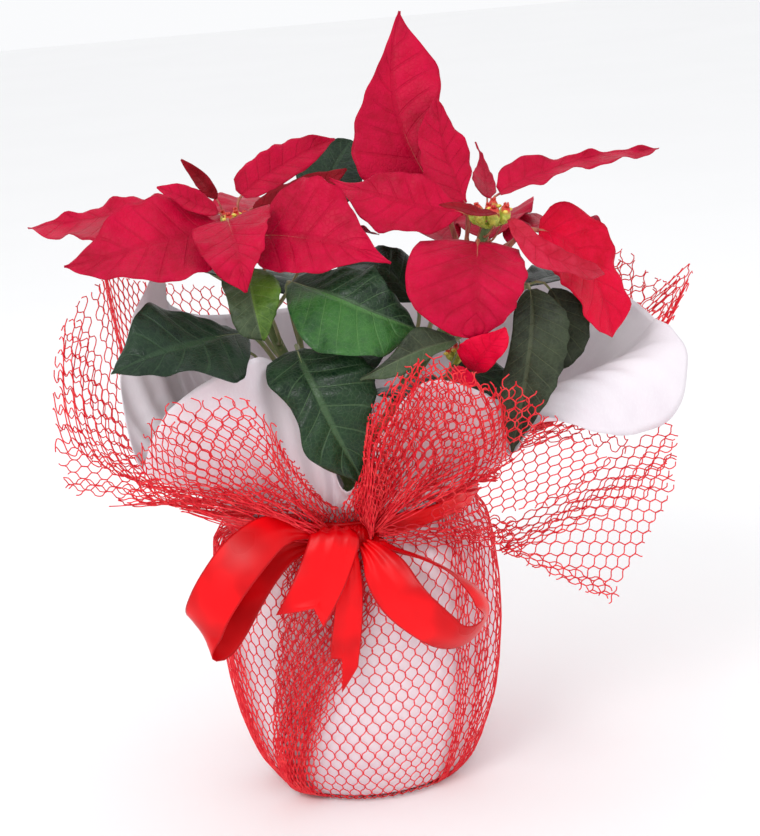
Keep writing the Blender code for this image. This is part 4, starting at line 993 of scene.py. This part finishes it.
def body_net(low, high, threads, seed, lift):
    """Strands of net up the side of the pot; low and high are angles at the foot and at the neck."""
    table = np.array(NET_BODY, float)
    gone = travelled(table)
    place = np.linspace(0, 1, int(gone[-1] / CELL_LENGTH * BODY_STEPS))[None, :]
    number = np.arange(threads)[:, None]
    rise = smoothstep(place, 0.15, 0.95)
    first = low[0] + (low[1] - low[0]) * rise
    step = (high[0] - low[0] + (high[1] - high[0] - low[1] + low[0]) * rise) / threads
    phase = place * gone[-1] / CELL_LENGTH + 0.2 * ripple_noise(number * 3.4, place * 160, seed)
    drift = 0.35 * ripple_noise(number * 5.0, place * 200, seed + 1)
    angle = np.radians(first + step * (number + 0.5 + thread_wave(phase, threads) + drift))
    radius, height = (np.interp(place * gone[-1], gone, table[:, k]) + np.zeros_like(angle) for k in (0, 1))
    ripple = 0.5 * ripple_noise(number * 3.4, place * 160, seed + 2)
    radius = radius + smoothstep(height, 2, 20) * (lift + ripple)
    radius = np.where(height > BAND_LOW - 4, np.minimum(radius, NET_NECK_RADIUS + 0.3), radius)
    points = round_points(radius + bag_bulge(angle, height), angle, height)
    outward = np.where((height < 1.0)[..., None], [0, 0, -1.0], round_points(1.0, angle, 0.0))
    return points, outward


def add_net(name, layers):
    """Piece of net made of three-sided strands along the lines of each layer."""
    parts = []
    for lines, outward in layers:
        threads, count = lines.shape[:2]
        along = unit(np.gradient(lines, axis=1))
        side = unit(np.cross(along, outward))
        up = np.cross(side, along)
        corners = np.stack([up, -0.5 * up + 0.87 * side, -0.5 * up - 0.87 * side], 2)
        points = lines[:, :, None] + corners * THREAD_RADIUS
        faces = [face for thread in range(threads) for face in ring_faces(count, 3, thread * count * 3)]
        parts.append((points.reshape(-1, 3), faces, 0, {}))
    return make_piece(name, "net_wrap", "wrap_net", ["wrap_net"], *join_parts(parts))


# Layers of the flared net: from and to angle, pitch, place low and high, lift, angle its foot draws towards
FLARE_RIGHT = [
    ((0, 90), 3.6, 0, 1, 0, None), ((270, 314), 3.6, 0, 1, 0, None), ((314, 360), 3.6, 0, 0.16, 0, None),
    ((4, 40), 4, 0.1, 0.96, 1.2, None), ((272, 311), 3.2, 0, 0.98, 1, None), ((270, 306), 3, 0, 0.96, 2, 277),
    ((274, 298), 2.8, 0, 0.9, 3, 278), ((276, 292), 2.6, 0, 0.97, 3.8, 278),
    ((271, 285), 2.4, 0, 0.84, 4.6, 277), ((271, 281), 2.3, 0, 0.76, 5.4, 277),
]
FLARE_LEFT = [
    ((180, 203), 3.6, 0, 1, 0, None), ((203, 213), 3.6, 0, 0.45, 0, None), ((213, 270), 3.6, 0, 1, 0, None),
    ((214, 262), 3.8, 0, 0.93, 1.3, None), ((184, 200), 4.6, 0.3, 0.96, 1.2, None),
    ((212, 256), 4.4, 0, 0.5, 2.4, 262), ((90, 180), 3.6, 0, 1, 0, None),
]

# Folded flap that hangs out on the right: corners, pitch, lift, how far its free edge bulges
WING_FOOT = (76, -44, 133)
WING_TOP = (170, -40, 179)
WING_LOW = (130, -72, 110)
WING = [
    ((WING_FOOT, WING_TOP, WING_LOW, WING_LOW), 3.6, 0, 11),
    (((76, -42, 143), (173, -36, 196), WING_FOOT, (170, -42, 172)), 3.2, 1.2, 0),
    ((WING_FOOT, (172, -38, 186), (80, -47, 131), (166, -47, 160)), 3.4, 2.2, 0),
    ((WING_FOOT, WING_LOW, (82, -45, 136), (135, -68, 117)), 2.6, 1, 0),
    (((14, -80, 163), (84, -45, 146), (14, -80, 156), (80, -46, 132)), 2.2, 0.6, 0),
    (((14, -79, 165), (84, -44, 152), (14, -80, 160), (82, -46, 138)), 2.2, 1.6, 0),
    (((45, -77, 158), (88, -50, 129), (46, -77, 173), (89, -54, 152)), 3.3, 0.4, 0),
    (((39, -78, 164), (79, -100, 239), (116, -62, 162), (135, -66, 184)), 3.6, 0, 0),
    (((78, -91, 208), (80, -101, 245), (97, -88, 202), (100, -96, 225)), 3.4, 0.6, 0),
]

# Folded lower edge of the net on the left
LEFT_FOLD = [
    (((-29, -75, 174), (-144, -46, 186), (-41, -72, 198), (-145, -44, 210)), 3.4, 0, 0),
    (((-29, -75, 174), (-142, -47, 185), (-30, -74, 179), (-144, -46, 195)), 2.8, 1.5, 0),
]

# Net on the pot, all round and then where it is folded: angles at the foot and at the neck, strands, lift
BODY = [((0, 0), (360, 360), 134, 0)]
BODY_FOLDS = [
    ((222, 244), (238, 284), 22, 0.9), ((224, 243), (236, 279), 20, 1.7), ((226, 242), (242, 284), 17, 2.4),
    ((196, 190), (216, 208), 12, 0.9), ((190, 186), (210, 203), 11, 1.6), ((308, 312), (313, 320), 8, 1.0),
    ((317, 322), (325, 331), 8, 1.2), ((20, 24), (40, 34), 12, 1.0), ((96, 90), (118, 104), 12, 1.0),
    ((140, 146), (158, 158), 12, 1.0),
]

paper = build_paper()
nets = {}
FLARES = {"net_flare_right": (FLARE_RIGHT, WING), "net_flare_left": (FLARE_LEFT, LEFT_FOLD)}
for name, (layers, flaps) in FLARES.items():
    lines = [collar_net(span, pitch, low, high, FLARE_SEED + FLARE_SEED_STEP * k, lift, converge)
             for k, (span, pitch, low, high, lift, converge) in enumerate(layers)]
    lines += [net_panel(corners, pitch, FLAP_SEED + FLAP_SEED_STEP * k, lift, bulge)
              for k, (corners, pitch, lift, bulge) in enumerate(flaps)]
    nets[name] = add_net(name, lines)
lines = [body_net(low, high, threads, seed + BODY_SEED_STEP * k, lift)
         for seed, table in ((BODY_SEED, BODY), (BODY_FOLD_SEED, BODY_FOLDS))
         for k, (low, high, threads, lift) in enumerate(table)]
nets["net_body"] = add_net("net_body", lines)


# Ribbon

def ribbon_strip(name, node, line, rows, cut, pinch_start, pinch_end, crown):
    """Satin strip along a table of points; cut says how much shorter each place across its far end is."""
    table = np.array(line, float)
    u = np.linspace(0, 1, rows)
    v = np.linspace(-1, 1, RIBBON_COLUMNS)
    row = smooth_through(table, u)
    centre = row[:, :3]
    along = unit(np.gradient(centre, axis=0))
    facing = unit(row[:, 3:6] - along * np.sum(row[:, 3:6] * along, axis=1, keepdims=True))
    across = np.cross(facing, along)
    half = row[:, 6] * RIBBON_WIDTH / 2
    gone = travelled(centre)
    gather = np.exp(-gone / PINCH_REACH) * pinch_start
    gather = gather + np.exp(-(gone[-1] - gone) / PINCH_REACH) * pinch_end
    fold = np.cos(v * np.pi * 3.2) * 2.6 * gather[:, None]
    height = fold + crown * (1 - v ** 2) + 0.25 * np.sin(v * 3 + 1)
    grid = centre[:, None] + across[:, None] * (half[:, None] * v)[..., None]
    grid = grid + facing[:, None] * height[..., None]
    if cut:
        shorter = np.interp(v, *np.transpose(cut))
        tail = smoothstep(gone, gone[-1] - 34, gone[-1])
        grid = grid - along[:, None] * (shorter * tail[:, None])[..., None]
    points, faces, rim_count = thin_sheet(grid, RIBBON_SHEET, facing)
    one_side = (rows - 1) * (RIBBON_COLUMNS - 1)
    # The back faces take ribbon_back, darker partly as painted shade inside the loops
    slots = [0] * one_side + [1] * one_side + [0] * rim_count
    uv = np.tile(uv_pairs(gone[:, None], v * 0.5 + 0.5), (2, 1))
    piece = make_piece(name, node, "ribbon_satin", ["ribbon_satin", "ribbon_back"], points, faces, slots,
                       {"blade": uv})


def build_knot():
    """Knot of the bow: the ribbon goes round it once, with soft folds across."""
    rows, sides = 25, 30
    x = np.linspace(-1, 1, rows)[:, None]
    angle = circle(sides)
    round_end = np.sqrt(np.clip(1 - np.abs(x) ** 2.6, 0.03, 1))
    size = round_end * (1 + 0.05 * np.cos(5 * angle + 3 * x) + 0.04 * np.cos(7 * np.pi * x))
    sizes = np.broadcast_arrays(7.0 * x, 4.8 * size * np.cos(angle), 6.4 * size * np.sin(angle))
    points = np.stack(sizes, -1) + KNOT_CENTRE
    uv = uv_pairs(angle * 8, x * 0.5 + 0.5)
    make_piece("knot_satin", "ribbon_knot", "ribbon_satin", ["ribbon_satin"], points, ring_faces(rows, sides),
               None, {"blade": uv})


def build_band():
    """Band of ribbon pulled tight round the neck, with small gathers."""
    angle = circle(240)
    v = np.linspace(-1, 1, 9)[:, None]
    radius = BAND_RADIUS + 0.35 * np.cos(31 * angle) * (0.4 + 0.6 * np.abs(v))
    radius = radius + 0.5 * (1 - v ** 2) + 0.4 * np.cos(9 * v)
    gathered = 0.62 + 0.05 * np.sin(9 * angle)
    height = (BAND_LOW + BAND_HIGH) / 2 + (BAND_HIGH - BAND_LOW) / 2 * v * gathered
    points, faces, _ = thin_sheet(round_points(radius, angle, height), RIBBON_SHEET)
    uv = np.tile(uv_pairs(angle * 70, v * 0.5 + 0.5), (2, 1))
    piece = make_piece("band_satin", "ribbon_band", "ribbon_satin", ["ribbon_satin"], points, faces, None,
                       {"blade": uv})


ribbon_strip("loop_left_satin", "bow_loop_left", LOOP_LEFT, 96, None, 1.0, 1.0, 0.8)
ribbon_strip("loop_right_satin", "bow_loop_right", LOOP_RIGHT, 96, None, 0.7, 1.0, 0.8)
ribbon_strip("tail_front_satin", "ribbon_tail_front", TAIL_FRONT, 60, TAIL_FRONT_CUT, 0.4, 0, 1.4)
ribbon_strip("tail_long_satin", "ribbon_tail_long", TAIL_LONG, 60, TAIL_LONG_CUT, 0.4, 0, 0.8)
build_knot()
build_band()


# Flower clusters

def cup(centre, axis, length, radius, mouth=0.42, rows=9, sides=12):
    """Small cup: rounded at its foot, widest in the middle and closing to a mouth."""
    side = unit(np.cross(axis, [0.3, 1.0, 0.2]))
    other = np.cross(axis, side)
    t = np.linspace(0, 1, rows)
    widths = [0.35, 0.72, 0.96, 1.0, 0.78, mouth + 0.12, mouth]
    profile = radius * np.interp(t, [0, 0.12, 0.3, 0.55, 0.8, 0.93, 1.0], widths)
    angle = circle(sides)
    lobes = 1 + 0.05 * np.cos(5 * angle) * smoothstep(t, 0.5, 1.0)[:, None]
    ring = side * np.cos(angle)[:, None] + other * np.sin(angle)[:, None]
    points = centre + axis * (t * length)[:, None, None] + ring * (profile[:, None] * lobes)[..., None]
    inner = centre + axis * (length * 0.82) + ring * radius * mouth * 0.6
    points = np.concatenate([points.reshape(-1, 3), inner])
    uv = np.stack([np.repeat(np.append(t, 1.0), sides), np.zeros(len(points))], -1)
    return points, ring_faces(rows + 1, sides), 0, {"blade": uv}


def ball(centre, radius, stretch, rows, sides):
    tilt = np.linspace(-np.pi / 2 + 0.25, np.pi / 2 - 0.25, rows)[:, None]
    points = round_points(np.cos(tilt), circle(sides), np.sin(tilt)) * stretch * radius + centre
    return points.reshape(-1, 3), ring_faces(rows, sides)


def build_cluster(name, centre, cups, cup_length, cup_radius, spread, seed, foot):
    """Cluster of cups on short stalks, each with red tips and a yellow gland at its side."""
    luck = np.random.default_rng(seed)
    parts = []
    foot = np.array(foot, float)
    for k in range(cups):
        ring = min(k, 1)
        angle = 2 * np.pi * (k - 1) / (cups - 1) + 0.4
        offset = np.array([np.cos(angle) * spread[0], np.sin(angle) * spread[1], 0.0]) * ring
        offset[2] = -1.2 * ring + luck.normal(0, 0.5)
        axis = unit(np.array([offset[0] / spread[0] * 0.35, offset[1] / spread[1] * 0.35 - 0.12, 1.0]))
        size = 1 + luck.normal(0, 0.07)
        start = centre + offset + np.array([0, 0, -cup_length * 0.45])
        parts.append(cup(start, axis, cup_length * size, cup_radius * size))
        top = start + axis * cup_length * size
        for j in range(5):
            turn = 2 * np.pi * j / 5 + luck.random()
            tip = top + np.array([np.cos(turn), np.sin(turn), 0]) * cup_radius * 0.33 + np.array([0, 0, 0.5])
            parts.append((*ball(tip, 0.55, (1, 1, 1.5), 5, 7), 1, {}))
        outward = np.array([np.cos(angle - 1.2), -0.9, 0.1])
        gland = start + axis * cup_length * 0.72 + outward * cup_radius * 0.92
        parts.append((*ball(gland, 1.15, (1.2, 0.8, 0.8), 5, 8), 2, {}))
        line = np.linspace(0, 1, 5)[:, None] * (start + axis * 0.8 - foot) + foot
        parts.append((*tube(line, np.linspace(1.7, 1.1, 5), 7), 0, {}))
    make_piece(name + "_cups", name, "cyathia_green", ["cup_green", "cup_red", "cup_yellow"],
               *join_parts(parts, ["blade"]))


build_cluster("cyathia_right", (83.5, -42, 311.5), 8, 9.5, 3.1, (6.6, 5.0), CLUSTER_SEED, (82, -40, 304))
build_cluster("cyathia_left", (-43.5, -26, 317.5), 6, 7.5, 2.6, (4.6, 4.2), CLUSTER_SEED + 1, (-43, -25, 312))
build_cluster("cyathia_low", (60.5, -66, 247), 5, 5.6, 1.9, (3.0, 2.8), CLUSTER_SEED + 2, (60, -65, 242))


# Soil, pot and stem

def build_soil():
    """Soil surface with crumbs and white grains over the CAD soil's shape."""
    (_, _, low), (wide, _, top) = np.array(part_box("potting_soil")) / MM
    wide -= 0.6
    sides = 120
    angle = circle(sides)
    luck = np.random.default_rng(SOIL_SEED)
    outline = [(1.0, low + 0.3), (30, low + 0.3), (50, low + 0.4), (54, 40), (60, 90), (wide, top - 4.5)]
    rings = [round_points(radius, angle, height) for radius, height in outline]
    for radius in np.linspace(wide - 1.5, 7.5, 34):
        bump = 0.9 * np.sin(radius * 0.9 + 3 * np.sin(angle * 3)) + luck.normal(0, 0.55, sides)
        height = top - 2.2 - 1.2 * (radius / wide) ** 2 + bump
        rings.append(round_points(radius, angle, np.minimum(height, top)))
    parts = [(np.concatenate(rings), ring_faces(len(rings), sides), 0, {})]
    for _ in range(90):
        radius = max(wide * luck.random() ** 0.5 * 0.95, 9)
        turn = luck.random() * 2 * np.pi
        size = 0.9 + 0.9 * luck.random()
        spot = (radius * np.cos(turn), radius * np.sin(turn), top - 2.6)
        points, faces = ball(spot, size, (1, 0.8 + 0.3 * luck.random(), 0.8), 5, 7)
        parts.append((points + luck.normal(0, 0.12, points.shape), faces, 1, {}))
    make_piece("soil_surface", "potting_soil", "soil", ["soil", "perlite"], *join_parts(parts))


build_soil()
for node, finish in (("nursery_pot", "pot_plastic"), ("stem", "stem_bark")):
    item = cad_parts[node]
    item.data.materials.clear()
    item.data.materials.append(MATERIALS[finish])

# Sheets of paper and net, cut square before they were gathered round the pot; the face areas of each piece of
# net are read here
for name in ("net_flare_left", "net_flare_right", "net_body"):
    piece = nets[name]
    areas = np.empty(len(piece.data.polygons))
    piece.data.polygons.foreach_get("area", areas)


# Floor, light and camera
floor_half = 6.0
mesh = bpy.data.meshes.new("floor")
floor_corners = [(x * floor_half, y * floor_half, 0) for x, y in ((-1, -1), (1, -1), (1, 1), (-1, 1))]
mesh.from_pydata(floor_corners, [], [(0, 1, 2, 3)])
mesh.materials.append(MATERIALS["floor"])
floor = bpy.data.objects.new("floor", mesh)
bpy.context.scene.collection.objects.link(floor)

# Area lights: place, diameter and power; all look at the middle of the plant
LIGHTS = {
    "key": ((-0.7, -1.3, 1.5), 0.7, 11),
    "fill": ((1.3, -1.1, 0.9), 1.2, 2),
    "top": ((0.0, 0.5, 1.8), 1.2, 2),
}
for name, (place, size, power) in LIGHTS.items():
    light = bpy.data.lights.new(name, "AREA")
    light.shape = "DISK"
    light.size = size
    light.energy = power
    lamp = bpy.data.objects.new(name, light)
    lamp.location = place
    lamp.rotation_euler = (Vector((0, 0, 0.2)) - Vector(place)).to_track_quat("-Z", "Y").to_euler()
    bpy.context.scene.collection.objects.link(lamp)

world = bpy.data.worlds.new("studio")
world.use_nodes = True
background = world.node_tree.nodes["Background"]
background.inputs["Color"].default_value = (0.98, 0.985, 1.0, 1.0)
background.inputs["Strength"].default_value = 0.98
bpy.context.scene.world = world
bpy.context.scene.view_settings.view_transform = "Standard"

elevation = math.radians(16)
roll = math.radians(5)
aim = Vector((0.020, 0.0, 0.198))
forward = Vector((0, math.cos(elevation), -math.sin(elevation)))
up = Vector((0, math.sin(elevation), math.cos(elevation)))
right = Vector((1, 0, 0))
camera_x = right * math.cos(roll) - up * math.sin(roll)
camera_y = right * math.sin(roll) + up * math.cos(roll)
camera = bpy.data.cameras.new("camera")
camera.lens = 80
camera.sensor_width = 36
camera.clip_end = 100
camera_object = bpy.data.objects.new("camera", camera)
turned_axes = Matrix((camera_x, camera_y, -forward)).transposed()
camera_object.matrix_world = Matrix.Translation(aim - forward) @ turned_axes.to_4x4()
bpy.context.scene.collection.objects.link(camera_object)
bpy.context.scene.camera = camera_object
